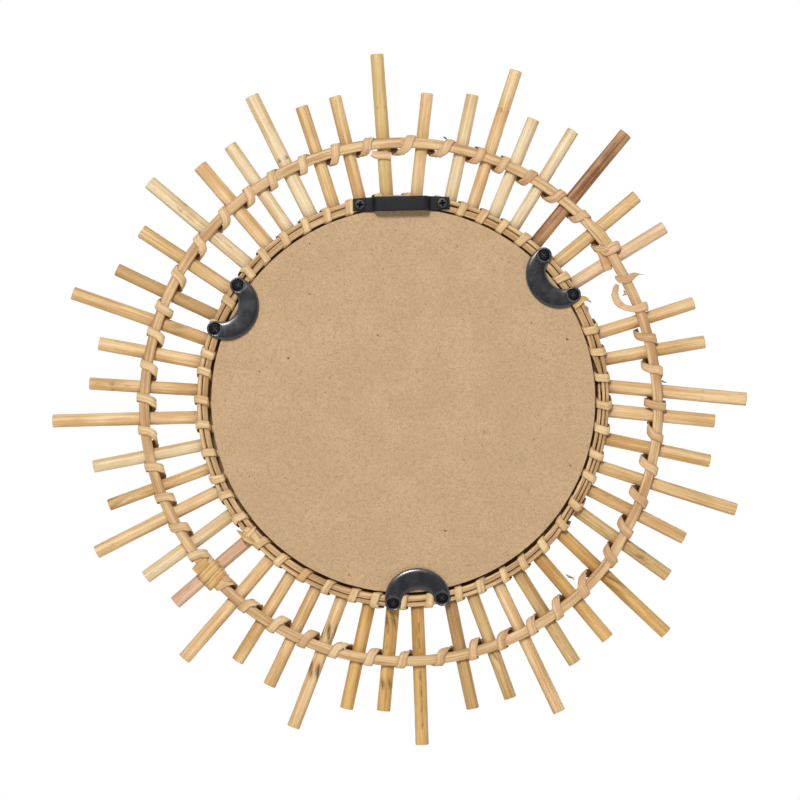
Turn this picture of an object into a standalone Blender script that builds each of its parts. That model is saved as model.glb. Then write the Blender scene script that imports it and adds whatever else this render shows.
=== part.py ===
"""Wall mirror in a sunburst frame of cane sticks, bound with split cane to an inner and an outer ring.

The mirror hangs upright. The glass faces -Y, the wall is on the +Y side and +Z is up. The world origin is
the middle of the lower edge of the hanger's bridge, where a wall hook carries the mirror.

Every piece but the hanger is modelled round the centre of the rings, with the axes of the sticks in the
plane y = 0, and is a child of the empty RingCentre, which is turned and set below the level hanger. A
bearing is an angle in degrees that runs clockwise from the ring's top, seen from the back of the mirror.
"""

from math import cos, degrees, hypot, pi, radians, sin

import bmesh
import bpy
from mathutils import Vector

# Sticks
SLOTS = 48
LONG_EVERY = 3
MISSING_SLOT = 9
FIRST_BEARING = -4.0
STICK_RADIUS = 0.0035
STICK_SIDES = 8
LONG_TIP = 0.1903
SHORT_TIP = 0.1719
FOOT_COVER = 0.0002
NUDGE_RADIUS = 0.1155

# Backing board and mirror glass
BOARD_RADIUS = 0.1056
BOARD_THICKNESS = 0.006
BOARD_SHIFT = 0.0003
BOARD_SHIFT_BEARING = 30.0
GLASS_INSET = 0.0004
GLASS_THICKNESS = 0.003
DISC_SIDES = 60

# Back coil and front hoop of the inner ring
BOARD_ROOM = 0.0018
COIL_WIDTH = 0.0059
COIL_SLIT = 0.0007
COIL_INNER_SHARE = 0.56
COIL_OVERLAP = (85.0, 124.0)
COIL_BLEND = 8.0
LEDGE_CATCH = 0.0041
LEDGE_WIDTH = 0.0105

# Hoops of the outer ring
OUTER_BACK = 0.1415
FRONT_INSET = 0.0004
HOOP_WIDTH = 0.0058
HOOP_DEPTH = 0.0033
HOOP_STEP = 360 / 56

# Binding strip
STRIP_THICKNESS = 0.0008
INNER_STRIP_WIDTH = 0.0046
OUTER_STRIP_WIDTH = 0.0050
STRIP_LEAN = 0.4
STRIP_SLACK = 0.0018
TAIL_LENGTH = 0.0028
TAIL_SWING = 0.6
LOOSE_BANDS = (5.0, -2.6)
CURL_REACH = 0.0047
CURL_SWING = 3.2
CURL_RADIUS = 0.0068
CURL_ANGLES = (-55, -15, 25, 65)
FOLD_ROOM = 0.0006

# Crescent clips
CLIP_BEARINGS = {"clip_right": 51.0, "clip_bottom": 175.8, "clip_left": 298.0}
CLIP_TWISTS = {"clip_right": 2.5, "clip_bottom": -1.7, "clip_left": 0.0}
CLIP_HOLD = 0.0024
CLIP_SCREW_SPACING = 0.027
CLIP_WIDTH = 0.0104
CLIP_MIDDLE_EXTRA = 0.0006
CLIP_THICKNESS = 0.0024
CLIP_EDGE = 0.0006
CLIP_ARC_STEPS = 8
CLIP_CAP_STEPS = 5
NOSE_WIDTH = 0.0055
NOSE_ANGLE = 45.0
NOSE_ARC_STEPS = 5
NOSE_CAP_STEPS = 2

# Hanger
HANGER_LENGTH = 0.053
HANGER_WIDTH = 0.0081
HANGER_THICKNESS = 0.0012
HANGER_SCREW_SPACING = 0.0453
HANGER_REST = 0.0007
BRIDGE_LENGTH = 0.0305
BRIDGE_RAMP = 0.0016
RAMP_THINNING = 0.8
BRIDGE_CLEARANCE = 0.0056
HANGER_ASIDE = 0.0011
RING_TURN = 1.1

# Screw heads
SCREW_RADIUS = 0.00275
SCREW_TOP_RADIUS = 0.0022
SCREW_HEIGHT = 0.0007
SCREW_SINK = 0.0006
SCREW_SIDES = 10

# Gap kept between pieces that touch
GAP = 0.0003

# Hand-made unevenness of each stick: bearing nudges of its foot and its tip, and extra length in mm
STICK_NUDGES = (
    (-0.5, -0.3, 1.3), (0.3, 1.0, -1.9), (2.2, 1.8, 1.1), (1.2, 0.4, 2.1),
    (0.0, -1.1, -0.8), (-1.0, -1.3, 4.1), (-0.9, -1.2, 1.6), (-0.4, 0.3, -0.6),
    (-0.5, 0.4, 1.1), (0.0, 0.0, 0.0), (-0.2, 0.4, -2.8), (-0.1, 0.4, -2.5),
    (0.1, 3.7, -1.1), (-0.8, 0.2, 0.2), (-0.4, 0.1, 0.5), (-0.1, -0.4, 2.7),
    (-0.4, 0.0, 0.5), (-1.3, -0.1, 3.0), (-1.0, 0.4, 3.0), (0.5, 0.7, 0.8),
    (0.1, 0.7, 0.8), (-1.0, -0.2, 1.3), (-0.7, -0.9, 2.2), (-1.8, -1.3, 1.9),
    (0.1, 0.8, -0.6), (-0.7, 0.1, -0.8), (-1.5, -0.6, 0.5), (-1.2, 0.1, -0.6),
    (-1.1, -0.8, 1.3), (-0.7, -1.0, -1.9), (-0.9, -0.7, -3.9), (-0.5, 0.0, -4.1),
    (0.5, -0.4, 0.0), (0.5, 0.2, -1.9), (-0.2, -0.5, 0.0), (-0.8, -0.5, 2.5),
    (-0.5, 0.7, 3.0), (-0.4, -0.3, 1.1), (-0.2, -0.3, -1.4), (-1.1, -0.4, 1.1),
    (-1.5, -1.3, 1.6), (-0.8, -0.5, 0.0), (0.3, -0.2, -5.8), (0.6, 0.7, -0.6),
    (0.2, -0.1, -1.7), (0.1, 0.1, -2.7), (-0.6, 0.0, -0.3), (-0.6, -1.1, 0.0),
)

# Unevenness of the outer hoops: bearing, and how far the hoop stands from its round line in mm
HOOP_WANDER = (
    (0, 0.4), (30, 0.1), (40, -0.4), (50, -0.7), (60, -2.3), (80, -2.3), (90, -1.5),
    (100, -0.7), (120, 0.1), (130, 2.0), (150, 2.0), (180, 1.5), (210, 0.7), (230, 0.4),
    (260, 1.0), (285, 0.1), (340, 0.4),
)

# Slots whose outer binding makes one turn more, on both sides of the splice in the strip
SPLICE_SLOTS = (30, 31)

CANE = (0.60, 0.38, 0.18)
PEELED_CANE = (0.72, 0.50, 0.26)
PALE_STICK = (0.73, 0.56, 0.28)
RED_STICK = (0.44, 0.17, 0.05)
PINK_STICK = (0.60, 0.33, 0.19)
BOARD_BROWN = (0.57, 0.39, 0.22)
CLIP_BLACK = (0.035, 0.038, 0.042)
HANGER_BLACK = (0.017, 0.018, 0.020)
SILVER = (0.85, 0.87, 0.88)

# Sticks that stand out from the others by their colour
STICK_TONES = {2: PALE_STICK, 5: PALE_STICK, 6: RED_STICK, 7: PINK_STICK, 8: PINK_STICK, 31: PINK_STICK}

# Radii that follow from the board's
GLASS_RADIUS = BOARD_RADIUS - GLASS_INSET
COIL_INNER = BOARD_RADIUS + BOARD_ROOM
COIL_OUTER = COIL_INNER + COIL_WIDTH
LEDGE_INNER = BOARD_RADIUS - LEDGE_CATCH
LEDGE_OUTER = LEDGE_INNER + LEDGE_WIDTH
FOOT_RADIUS = COIL_INNER + FOOT_COVER
CLIP_SEAT = COIL_INNER + CLIP_HOLD
HANGER_HEIGHT = COIL_INNER + HANGER_REST
HANGER_LOWER_EDGE = HANGER_HEIGHT - HANGER_WIDTH / 2
OUTER_FRONT = OUTER_BACK - FRONT_INSET

# Depths, from the glass side to the wall side
HOOP_NEAR = STICK_RADIUS + GAP
HOOP_FAR = HOOP_NEAR + HOOP_DEPTH
STRIP_MIDDLE = HOOP_FAR + GAP + STRIP_THICKNESS / 2
STRIP_BACK = HOOP_FAR + GAP + STRIP_THICKNESS
LEDGE_STRIP_MIDDLE = -HOOP_NEAR + GAP + STRIP_THICKNESS / 2
GLASS_FRONT = -HOOP_NEAR + STRIP_THICKNESS + 2 * GAP
GLASS_BACK = GLASS_FRONT + GLASS_THICKNESS
BOARD_FRONT = GLASS_BACK + GAP
BOARD_BACK = BOARD_FRONT + BOARD_THICKNESS
FITTING_SEAT = STRIP_BACK + GAP
BRIDGE_UNDERSIDE = FITTING_SEAT + BRIDGE_CLEARANCE
BRIDGE_MIDDLE = BRIDGE_UNDERSIDE + HANGER_THICKNESS / 2
NOSE_LOW = BOARD_BACK + GAP - FITTING_SEAT
NOSE_ROOT = CLIP_THICKNESS / 2

# How far the strip's middle lies from what it is wound round, and how far apart its stations at a fold are
STRIP_SEAT = GAP + STRIP_THICKNESS / 2
FOLD_STEP = STRIP_THICKNESS / 4


def clear_scene():
    for obj in list(bpy.data.objects):
        bpy.data.objects.remove(obj, do_unlink=True)


def make_collection(name):
    collection = bpy.data.collections.new(name)
    bpy.context.scene.collection.children.link(collection)
    return collection


def make_material(name, colour, roughness, metallic=0.0):
    material = bpy.data.materials.new(name)
    material.use_nodes = True
    shader = material.node_tree.nodes["Principled BSDF"]
    shader.inputs["Base Color"].default_value = (*colour, 1.0)
    shader.inputs["Roughness"].default_value = roughness
    shader.inputs["Metallic"].default_value = metallic
    return material


def add_piece(model, name, data, material):
    """Link mesh or curve data as a named piece that hangs on the empty at the rings' centre."""
    piece = bpy.data.objects.new(name, data)
    piece.data.materials.append(material)
    model["collection"].objects.link(piece)
    piece.parent = model["centre"]
    return piece


def at(radius, bearing):
    """The x and z of a point, by its distance from the rings' centre and its bearing."""
    turn = radians(bearing)
    return -radius * sin(turn), radius * cos(turn)


def point_at(radius, bearing, depth):
    x, z = at(radius, bearing)
    return Vector((x, depth, z))


def wander(bearing):
    """How far the outer hoops stand from their round line at a bearing, in metres."""
    bearing = bearing % 360
    stations = HOOP_WANDER + ((360, HOOP_WANDER[0][1]),)
    for (start, here), (end, there) in zip(stations, stations[1:]):
        if start <= bearing <= end:
            share = (bearing - start) / (end - start)
            smooth = share * share * (3 - 2 * share)
            return (here + (there - here) * smooth) / 1000
    return 0.0


def stick_line(slot):
    """A stick's bearings where its nudge was read and at its tip, and its tip's radius."""
    foot_nudge, tip_nudge, extra = STICK_NUDGES[slot % len(STICK_NUDGES)]
    even = FIRST_BEARING + slot * 360 / SLOTS
    tip = LONG_TIP if slot % LONG_EVERY == 0 else SHORT_TIP
    return even + foot_nudge, even + tip_nudge, tip + extra / 1000


def stick_bearing(slot, radius):
    """The bearing of a stick's straight axis at some radius. Slots run on past both ends of the circle.

    A straight line that passes near the centre has a bearing that is even in one over the radius.
    """
    turns, place = divmod(slot, SLOTS)
    foot, tip, tip_radius = stick_line(place)
    share = (1 / NUDGE_RADIUS - 1 / radius) / (1 / NUDGE_RADIUS - 1 / tip_radius)
    return foot + (tip - foot) * share + 360 * turns


def make_sticks(model):
    for slot in range(SLOTS):
        if slot != MISSING_SLOT:
            make_stick(model, slot)


def make_stick(model, slot):
    """One round stick: a cylinder from under the coil to its tip."""
    _, tip_bearing, tip_radius = stick_line(slot)
    foot = point_at(FOOT_RADIUS, stick_bearing(slot, FOOT_RADIUS), 0)
    tip = point_at(tip_radius, tip_bearing, 0)
    along = tip - foot
    mesh = bpy.data.meshes.new(f"stick_{slot:02d}")
    form = bmesh.new()
    bmesh.ops.create_cone(
        form,
        cap_ends=True,
        segments=STICK_SIDES,
        radius1=STICK_RADIUS,
        radius2=STICK_RADIUS,
        depth=along.length,
    )
    form.to_mesh(mesh)
    form.free()
    mesh.shade_smooth()
    mesh.set_sharp_from_angle(angle=radians(50))
    material = make_material(mesh.name, STICK_TONES.get(slot, CANE), 0.5)
    stick = add_piece(model, mesh.name, mesh, material)
    stick.location = (foot + tip) / 2
    stick.rotation_mode = "QUATERNION"
    stick.rotation_quaternion = along.to_track_quat("Z", "Y")


def outline_piece(model, name, outlines, low, high, material, edge=0.0):
    """A flat piece: closed outlines of x, z points, filled, from one depth to another, edges chamfered."""
    curve = bpy.data.curves.new(name, "CURVE")
    curve.dimensions = "2D"
    curve.fill_mode = "BOTH"
    curve.extrude = (high - low) / 2 - edge
    curve.bevel_depth = edge
    curve.bevel_resolution = 0
    curve.offset = -edge
    for outline in outlines:
        spline = curve.splines.new("POLY")
        spline.points.add(len(outline) - 1)
        for point, (x, z) in zip(spline.points, outline):
            point.co = (x, z, 0, 1)
        spline.use_cyclic_u = True
    piece = add_piece(model, name, curve, material)
    piece.rotation_euler = (pi / 2, 0, 0)
    piece.location = (0, (low + high) / 2, 0)
    return piece


def as_mesh_piece(model, piece):
    """The same piece as a mesh, turned and set as the piece was, so that others can be joined to it."""
    bpy.context.view_layer.update()
    graph = bpy.context.evaluated_depsgraph_get()
    mesh = bpy.data.meshes.new_from_object(piece.evaluated_get(graph))
    mesh.transform(piece.matrix_basis)
    form = bmesh.new()
    form.from_mesh(mesh)
    bmesh.ops.remove_doubles(form, verts=form.verts, dist=1e-7)
    bmesh.ops.recalc_face_normals(form, faces=form.faces)
    form.to_mesh(mesh)
    form.free()
    name = piece.name
    material = piece.data.materials[0]
    bpy.data.objects.remove(piece, do_unlink=True)
    mesh.name = name
    mesh.materials.clear()
    return add_piece(model, name, mesh, material)


def join_piece(model, target, other):
    """Unite another mesh piece, made in target's own frame, with it and put it away with the guides."""
    other.name = f"{target.name}_guide_{other.name}"
    other.parent = target
    model["collection"].objects.unlink(other)
    model["guides"].objects.link(other)
    other.hide_render = True
    other.display_type = "WIRE"
    union = target.modifiers.new(other.name, "BOOLEAN")
    union.operation = "UNION"
    union.object = other


def ring_outline(radius_at):
    """A closed outline round the centre, with its radius given by the bearing."""
    count = round(360 / HOOP_STEP)
    return [at(radius_at(i * 360 / count), i * 360 / count) for i in range(count)]


def make_hoops(model):
    """The two hoops of the outer ring and the front hoop of the inner ring, each a flat split cane."""
    half = HOOP_WIDTH / 2
    hoops = (
        ("outer_back_hoop", OUTER_BACK, half, HOOP_NEAR, HOOP_FAR, wander),
        ("outer_front_hoop", OUTER_FRONT, half, -HOOP_FAR, -HOOP_NEAR, wander),
        ("inner_front_hoop", (LEDGE_INNER + LEDGE_OUTER) / 2, LEDGE_WIDTH / 2, -HOOP_FAR, -HOOP_NEAR, None),
    )
    for name, middle, reach, low, high, uneven in hoops:
        outlines = [
            ring_outline(lambda bearing: middle + side * reach + (uneven(bearing) if uneven else 0))
            for side in (-1, 1)
        ]
        outline_piece(model, name, outlines, low, high, make_material(name, CANE, 0.45))


def coil_edges(turned):
    """Inner and outer radius of the coiled cane after it has turned some degrees from bearing 0.

    The cane lies in two strands, and in three where its two ends lie beside each other. Its widths share
    the ring's width between them, and they change evenly over COIL_BLEND degrees.
    """
    start, end = COIL_OVERLAP
    double = COIL_WIDTH - COIL_SLIT
    inner_strand = double * COIL_INNER_SHARE
    two = (
        (COIL_INNER, COIL_INNER + inner_strand),
        (COIL_INNER + inner_strand + COIL_SLIT, COIL_OUTER),
    )
    triple = (COIL_WIDTH - 2 * COIL_SLIT) / 3
    three = [
        (COIL_INNER + i * (triple + COIL_SLIT), COIL_INNER + i * (triple + COIL_SLIT) + triple)
        for i in range(3)
    ]
    stations = (
        (start, three[0]),
        (end, three[0]),
        (end + COIL_BLEND, two[0]),
        (start + 360 - COIL_BLEND, two[0]),
        (start + 360, three[1]),
        (end + 360, three[1]),
        (end + 360 + COIL_BLEND, two[1]),
        (start + 720 - COIL_BLEND, two[1]),
        (start + 720, three[2]),
        (end + 720, three[2]),
    )
    for (low, here), (high, there) in zip(stations, stations[1:]):
        if low <= turned <= high:
            share = (turned - low) / (high - low)
            return tuple(a + (b - a) * share for a, b in zip(here, there))
    return stations[-1][1]


def make_coil(model):
    """The back coil of the inner ring: one split cane wound about two turns, thin at both ends."""
    start, end = COIL_OVERLAP
    steps = round((end + 720 - start) / HOOP_STEP)
    inner, outer = [], []
    for i in range(steps + 1):
        turned = start + (end + 720 - start) * i / steps
        low, high = coil_edges(turned)
        if i in (0, steps):
            middle = (low + high) / 2
            low, high = (low + middle) / 2, (high + middle) / 2
        inner.append(at(low, turned))
        outer.append(at(high, turned))
    outline = outer + inner[::-1]
    material = make_material("inner_back_coil", CANE, 0.45)
    outline_piece(model, "inner_back_coil", [outline], HOOP_NEAR, HOOP_FAR, material)


def make_disc(model, name, radius, low, high, material):
    """A round plate, set a little off the rings' centre as the real one is."""
    mesh = bpy.data.meshes.new(name)
    form = bmesh.new()
    bmesh.ops.create_cone(
        form, cap_ends=True, segments=DISC_SIDES, radius1=radius, radius2=radius, depth=high - low
    )
    form.to_mesh(mesh)
    form.free()
    mesh.shade_smooth()
    mesh.set_sharp_from_angle(angle=radians(50))
    disc = add_piece(model, name, mesh, material)
    x, z = at(BOARD_SHIFT, BOARD_SHIFT_BEARING)
    disc.location = (x, (low + high) / 2, z)
    disc.rotation_euler = (pi / 2, 0, 0)


def side_vector(bearing):
    """The unit vector along the ring, clockwise."""
    x, z = at(1, bearing + 90)
    return Vector((x, 0, z))


def ribbon_piece(model, name, stations, width, material):
    """A strip along stations of point and side vector: an open surface that Solidify gives its thickness."""
    half = width / 2
    mesh = bpy.data.meshes.new(name)
    form = bmesh.new()
    rows = [
        (form.verts.new(point - side * half), form.verts.new(point + side * half))
        for point, side in stations
    ]
    for (a, b), (c, d) in zip(rows, rows[1:]):
        form.faces.new((a, c, d, b))
    form.to_mesh(mesh)
    form.free()
    strip = add_piece(model, name, mesh, material)
    wall = strip.modifiers.new("Thickness", "SOLIDIFY")
    wall.thickness = STRIP_THICKNESS
    wall.offset = 0
    wall.use_even_offset = True
    return strip


def beside_stick(slot, radii, side, width):
    """The bearing of a strip's middle that passes a stick at all of some radii, with the gap between them."""
    found = [
        side * stick_bearing(slot, radius) + degrees((STICK_RADIUS + GAP + width / 2) / radius)
        for radius in radii
    ]
    return side * max(found)


def turn_bearings(slot, part, parts, inside, outside, width):
    """Bearings of one turn in the gap after a stick: where it comes up inside and where it goes down outside.

    Inside and outside are the radii that the strip passes there, on its way between front and back.
    """
    if parts > 1:
        first = beside_stick(slot, inside + outside, 1, width)
        last = beside_stick(slot + 1, inside + outside, -1, width)
        place = first + (last - first) * part / (parts - 1)
        return place, place
    up = beside_stick(slot, inside, 1, width)
    down = beside_stick(slot + 1, outside, -1, width)
    if down < up:
        up = down = (up + down) / 2
    return up, down


def turns(inside, outside, width, double):
    """Bearings of all turns, clockwise from the gap after the missing stick to the gap before it."""
    found = []
    for step in range(1, SLOTS):
        slot = MISSING_SLOT + step
        parts = 2 if slot % SLOTS in double else 1
        for part in range(parts):
            found.append(turn_bearings(slot, part, parts, inside, outside, width))
    return found


def make_outer_binding(model):
    """The strip round the outer ring, from its loose curl to its frayed tail at the missing stick.

    Each turn crosses the back of the ring outwards, goes down outside, crosses the front inwards past the
    next stick and comes up inside, where it stands a little off the hoop.
    """
    half = HOOP_WIDTH / 2
    inside_back = OUTER_BACK - half - STRIP_SEAT - STRIP_SLACK
    outside_back = OUTER_BACK + half + STRIP_SEAT
    inside_front = OUTER_FRONT - half - STRIP_SEAT - FOLD_ROOM
    outside_front = OUTER_FRONT + half + STRIP_SEAT + FOLD_ROOM
    gap_turns = turns(
        (inside_front, inside_back), (outside_front, outside_back), OUTER_STRIP_WIDTH, SPLICE_SLOTS
    )
    before = FIRST_BEARING + MISSING_SLOT * 360 / SLOTS
    first, last = before + LOOSE_BANDS[0], before + LOOSE_BANDS[1]
    bands = [(first, first)] + gap_turns[:-1] + [(last, last)]
    stations = curl_stations(first, inside_back)
    for index, (up, down) in enumerate(bands):
        middle = max((up + down) / 2, down - STRIP_LEAN)
        stations.append(hoop_station(inside_back, middle, STRIP_MIDDLE))
        stations.append(hoop_station(outside_back - FOLD_STEP, down, STRIP_MIDDLE))
        if index == len(bands) - 1:
            stations.append(hoop_station(outside_back + TAIL_LENGTH, down + TAIL_SWING, STRIP_MIDDLE))
            break
        next_up = bands[index + 1][0]
        stations.append(hoop_station(outside_back + FOLD_STEP, down, HOOP_NEAR - GAP))
        stations.append(hoop_station(outside_front, down, -STRIP_MIDDLE))
        stations.append(hoop_station(inside_front, next_up, -STRIP_MIDDLE))
        stations.append(hoop_station(inside_front, next_up, -HOOP_NEAR + GAP))
    material = make_material("outer_binding", PEELED_CANE, 0.5)
    ribbon_piece(model, "outer_binding", stations, OUTER_STRIP_WIDTH, material)


def hoop_station(radius, bearing, depth):
    """A station on the outer ring, which follows the hoops' unevenness."""
    return ring_station(radius + wander(bearing), bearing, depth)


def ring_station(radius, bearing, depth):
    return point_at(radius, bearing, depth), side_vector(bearing)


def curl_stations(bearing, radius):
    """The loose end inside the ring: it leaves the hoop inwards and bends back up in a half circle."""
    middle = point_at(radius - CURL_REACH, bearing - CURL_SWING, STRIP_MIDDLE + STRIP_THICKNESS)
    out = point_at(1, bearing, 0)
    along = side_vector(bearing)
    found = []
    for angle in CURL_ANGLES:
        turn = radians(angle)
        ray = -out * cos(turn) + along * sin(turn)
        found.append((middle + ray * CURL_RADIUS, ray))
    return found


def make_inner_binding(model):
    """The strip round the inner ring.

    Each turn crosses the coil outwards, goes down between the sticks, crosses the front hoop inwards past
    the next stick, runs along the ledge under the glass and comes up between the board and the coil.
    """
    inside_back = COIL_INNER - STRIP_SEAT
    inside_front = LEDGE_INNER - STRIP_SEAT - FOLD_ROOM
    outside = COIL_OUTER + STRIP_SEAT
    stations = []
    gap_turns = turns((inside_back,), (outside,), INNER_STRIP_WIDTH, ())
    for index, (up, down) in enumerate(gap_turns):
        stations.append(ring_station(inside_back, (up + down) / 2 - STRIP_LEAN, STRIP_MIDDLE))
        stations.append(ring_station(outside, down, STRIP_MIDDLE))
        if index == len(gap_turns) - 1:
            stations.append(ring_station(outside + STRIP_THICKNESS, down, HOOP_NEAR))
            break
        next_up = gap_turns[index + 1][0]
        stations.append(ring_station(outside, down, -STRIP_MIDDLE))
        stations.append(ring_station(inside_front, next_up, -STRIP_MIDDLE))
        stations.append(ring_station(inside_front, next_up, LEDGE_STRIP_MIDDLE))
        stations.append(ring_station(inside_back, next_up, LEDGE_STRIP_MIDDLE))
    material = make_material("inner_binding", PEELED_CANE, 0.5)
    ribbon_piece(model, "inner_binding", stations, INNER_STRIP_WIDTH, material)


def crescent(width, extra, last, steps, cap_steps):
    """The outline of a crescent round the origin: an arc with round ends.

    It runs as far as the angle last to both sides of its middle, which points to -z and is wider by extra.
    """
    radius = CLIP_SCREW_SPACING / 2
    angles = [last * (2 * i / steps - 1) for i in range(steps + 1)]
    outer, inner = [], []
    for angle in angles:
        turn = radians(angle)
        half = (width + extra * cos(turn) ** 2) / 2
        outer.append(((radius + half) * sin(turn), -(radius + half) * cos(turn)))
        inner.append(((radius - half) * sin(turn), -(radius - half) * cos(turn)))
    caps = []
    for angle, sign in ((last, 1), (-last, -1)):
        turn = radians(angle)
        half = (width + extra * cos(turn) ** 2) / 2
        centre = (radius * sin(turn), -radius * cos(turn))
        ray = (sin(turn), -cos(turn))
        along = (sign * cos(turn), sign * sin(turn))
        cap = []
        for i in range(1, cap_steps):
            swing = pi * i / cap_steps
            cap.append(tuple(
                centre[k] + half * (sign * cos(swing) * ray[k] + sin(swing) * along[k]) for k in (0, 1)
            ))
        caps.append(cap)
    return outer + caps[0] + inner[::-1] + caps[1]


def screw_head(model, name, x, z, low, material):
    """A low round head, a little into what it holds so that it can be united with it."""
    mesh = bpy.data.meshes.new(name)
    form = bmesh.new()
    bmesh.ops.create_cone(
        form,
        cap_ends=True,
        segments=SCREW_SIDES,
        radius1=SCREW_RADIUS,
        radius2=SCREW_TOP_RADIUS,
        depth=SCREW_HEIGHT + SCREW_SINK,
    )
    bmesh.ops.rotate(form, verts=form.verts, matrix=turn_to_back())
    bmesh.ops.translate(form, verts=form.verts, vec=(x, low + (SCREW_HEIGHT - SCREW_SINK) / 2, z))
    form.to_mesh(mesh)
    form.free()
    return add_piece(model, name, mesh, material)


def turn_to_back():
    """The matrix that lays a shape's +Z along +Y."""
    return Vector((0, 1, 0)).to_track_quat("Z", "Y").to_matrix()


def make_clips(model):
    """Crescent clips: screwed to the inner ring at both ends, with a nose that presses on the board.

    Each is made upright round its own origin, midway between its screws, and then set at its bearing.
    """
    for name, bearing in CLIP_BEARINGS.items():
        material = make_material(name, CLIP_BLACK, 0.35)
        top = CLIP_THICKNESS
        body = crescent(CLIP_WIDTH, CLIP_MIDDLE_EXTRA, 90, CLIP_ARC_STEPS, CLIP_CAP_STEPS)
        clip = outline_piece(model, name, [body], 0, top, material, CLIP_EDGE)
        clip = as_mesh_piece(model, clip)
        nose = crescent(NOSE_WIDTH, 0, NOSE_ANGLE, NOSE_ARC_STEPS, NOSE_CAP_STEPS)
        nose = outline_piece(model, "nose", [nose], NOSE_LOW, NOSE_ROOT, material)
        join_piece(model, clip, as_mesh_piece(model, nose))
        for side in (-1, 1):
            x = side * CLIP_SCREW_SPACING / 2
            join_piece(model, clip, screw_head(model, f"screw_{side + 1}", x, 0, top, material))
        x, z = at(CLIP_SEAT, bearing)
        clip.location = (x, FITTING_SEAT, z)
        clip.rotation_euler = (0, -radians(bearing + CLIP_TWISTS[name]), 0)


def make_hanger(model):
    """The strap hanger: a flat strap, bent up into a bridge in the middle, with a screw in each foot."""
    half = HANGER_LENGTH / 2
    rise = BRIDGE_LENGTH / 2
    low, high = FITTING_SEAT, BRIDGE_UNDERSIDE
    thick = HANGER_THICKNESS
    wall = RAMP_THINNING * thick * hypot(BRIDGE_RAMP, high - low) / (high - low)
    under = [(half, low), (rise, low), (rise - BRIDGE_RAMP, high)]
    over = [(half, low + thick), (rise + wall, low + thick), (rise - BRIDGE_RAMP + wall, high + thick)]
    outline = under + [(-x, y) for x, y in under[::-1]] + [(-x, y) for x, y in over] + over[::-1]
    curve = bpy.data.curves.new("hanger", "CURVE")
    curve.dimensions = "2D"
    curve.fill_mode = "BOTH"
    curve.extrude = HANGER_WIDTH / 2
    spline = curve.splines.new("POLY")
    spline.points.add(len(outline) - 1)
    for point, (x, y) in zip(spline.points, outline):
        point.co = (x, y, 0, 1)
    spline.use_cyclic_u = True
    material = make_material("hanger", HANGER_BLACK, 0.55)
    hanger = as_mesh_piece(model, add_piece(model, "hanger", curve, material))
    for side in (-1, 1):
        x = side * HANGER_SCREW_SPACING / 2
        top = FITTING_SEAT + HANGER_THICKNESS
        join_piece(model, hanger, screw_head(model, f"screw_{side + 1}", x, 0, top, material))
    hanger.parent = None
    hanger.location = (0, -BRIDGE_MIDDLE, HANGER_WIDTH / 2)


def main():
    clear_scene()
    model = {"collection": make_collection("WallMirror"), "guides": make_collection("Guides")}
    centre = bpy.data.objects.new("RingCentre", None)
    centre.location = (HANGER_ASIDE, -BRIDGE_MIDDLE, -HANGER_LOWER_EDGE)
    centre.rotation_euler = (0, -radians(RING_TURN), 0)
    model["collection"].objects.link(centre)
    model["centre"] = centre
    make_sticks(model)
    make_hoops(model)
    make_coil(model)
    make_disc(
        model, "mirror_glass", GLASS_RADIUS, GLASS_FRONT, GLASS_BACK,
        make_material("mirror_glass", SILVER, 0.03, 1.0),
    )
    make_disc(
        model, "backing_board", BOARD_RADIUS, BOARD_FRONT, BOARD_BACK,
        make_material("backing_board", BOARD_BROWN, 0.8),
    )
    make_outer_binding(model)
    make_inner_binding(model)
    make_clips(model)
    make_hanger(model)


main()
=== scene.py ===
"""Looks of the wall mirror with a cane sunburst frame, seen from its back.

The ring frame is used throughout: a radius from the rings' centre, a bearing in degrees that runs clockwise
from the ring's top as the back shows it, and a depth that is 0 in the plane of the sticks' axes and grows
towards the wall. place() turns it into the frame's own metres.
"""

from math import cos, pi, radians, sin

import bpy
import numpy as np
from bpy.props import FloatProperty, FloatVectorProperty, IntProperty, PointerProperty
from bpy.types import Operator, Panel, PropertyGroup
from mathutils import Matrix, Vector


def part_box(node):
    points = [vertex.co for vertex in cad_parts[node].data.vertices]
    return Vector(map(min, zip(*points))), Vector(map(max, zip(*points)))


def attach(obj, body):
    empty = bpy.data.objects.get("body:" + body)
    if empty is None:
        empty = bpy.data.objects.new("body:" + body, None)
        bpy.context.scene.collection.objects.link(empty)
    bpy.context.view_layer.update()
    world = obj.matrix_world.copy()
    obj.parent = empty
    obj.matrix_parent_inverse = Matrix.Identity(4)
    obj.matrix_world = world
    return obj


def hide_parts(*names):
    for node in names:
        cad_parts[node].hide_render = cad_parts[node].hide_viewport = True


bl_info = {
    "name": "Cane Sunburst Wall Mirror",
    "version": (1, 0, 0),
    "blender": (4, 5, 0),
    "location": "3D View > Sidebar > Wall Mirror",
    "description": "Makes the back of a round wall mirror in a bound cane frame",
    "category": "Object",
}

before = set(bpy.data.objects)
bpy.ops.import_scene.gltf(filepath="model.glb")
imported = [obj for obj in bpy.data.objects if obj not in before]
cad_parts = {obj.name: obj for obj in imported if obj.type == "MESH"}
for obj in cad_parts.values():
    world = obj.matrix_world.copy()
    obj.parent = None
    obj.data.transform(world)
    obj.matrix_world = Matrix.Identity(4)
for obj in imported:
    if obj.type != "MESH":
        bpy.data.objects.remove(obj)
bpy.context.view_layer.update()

# Turn of the rings below the level hanger, in degrees
RING_TURN = 1.1

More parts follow.
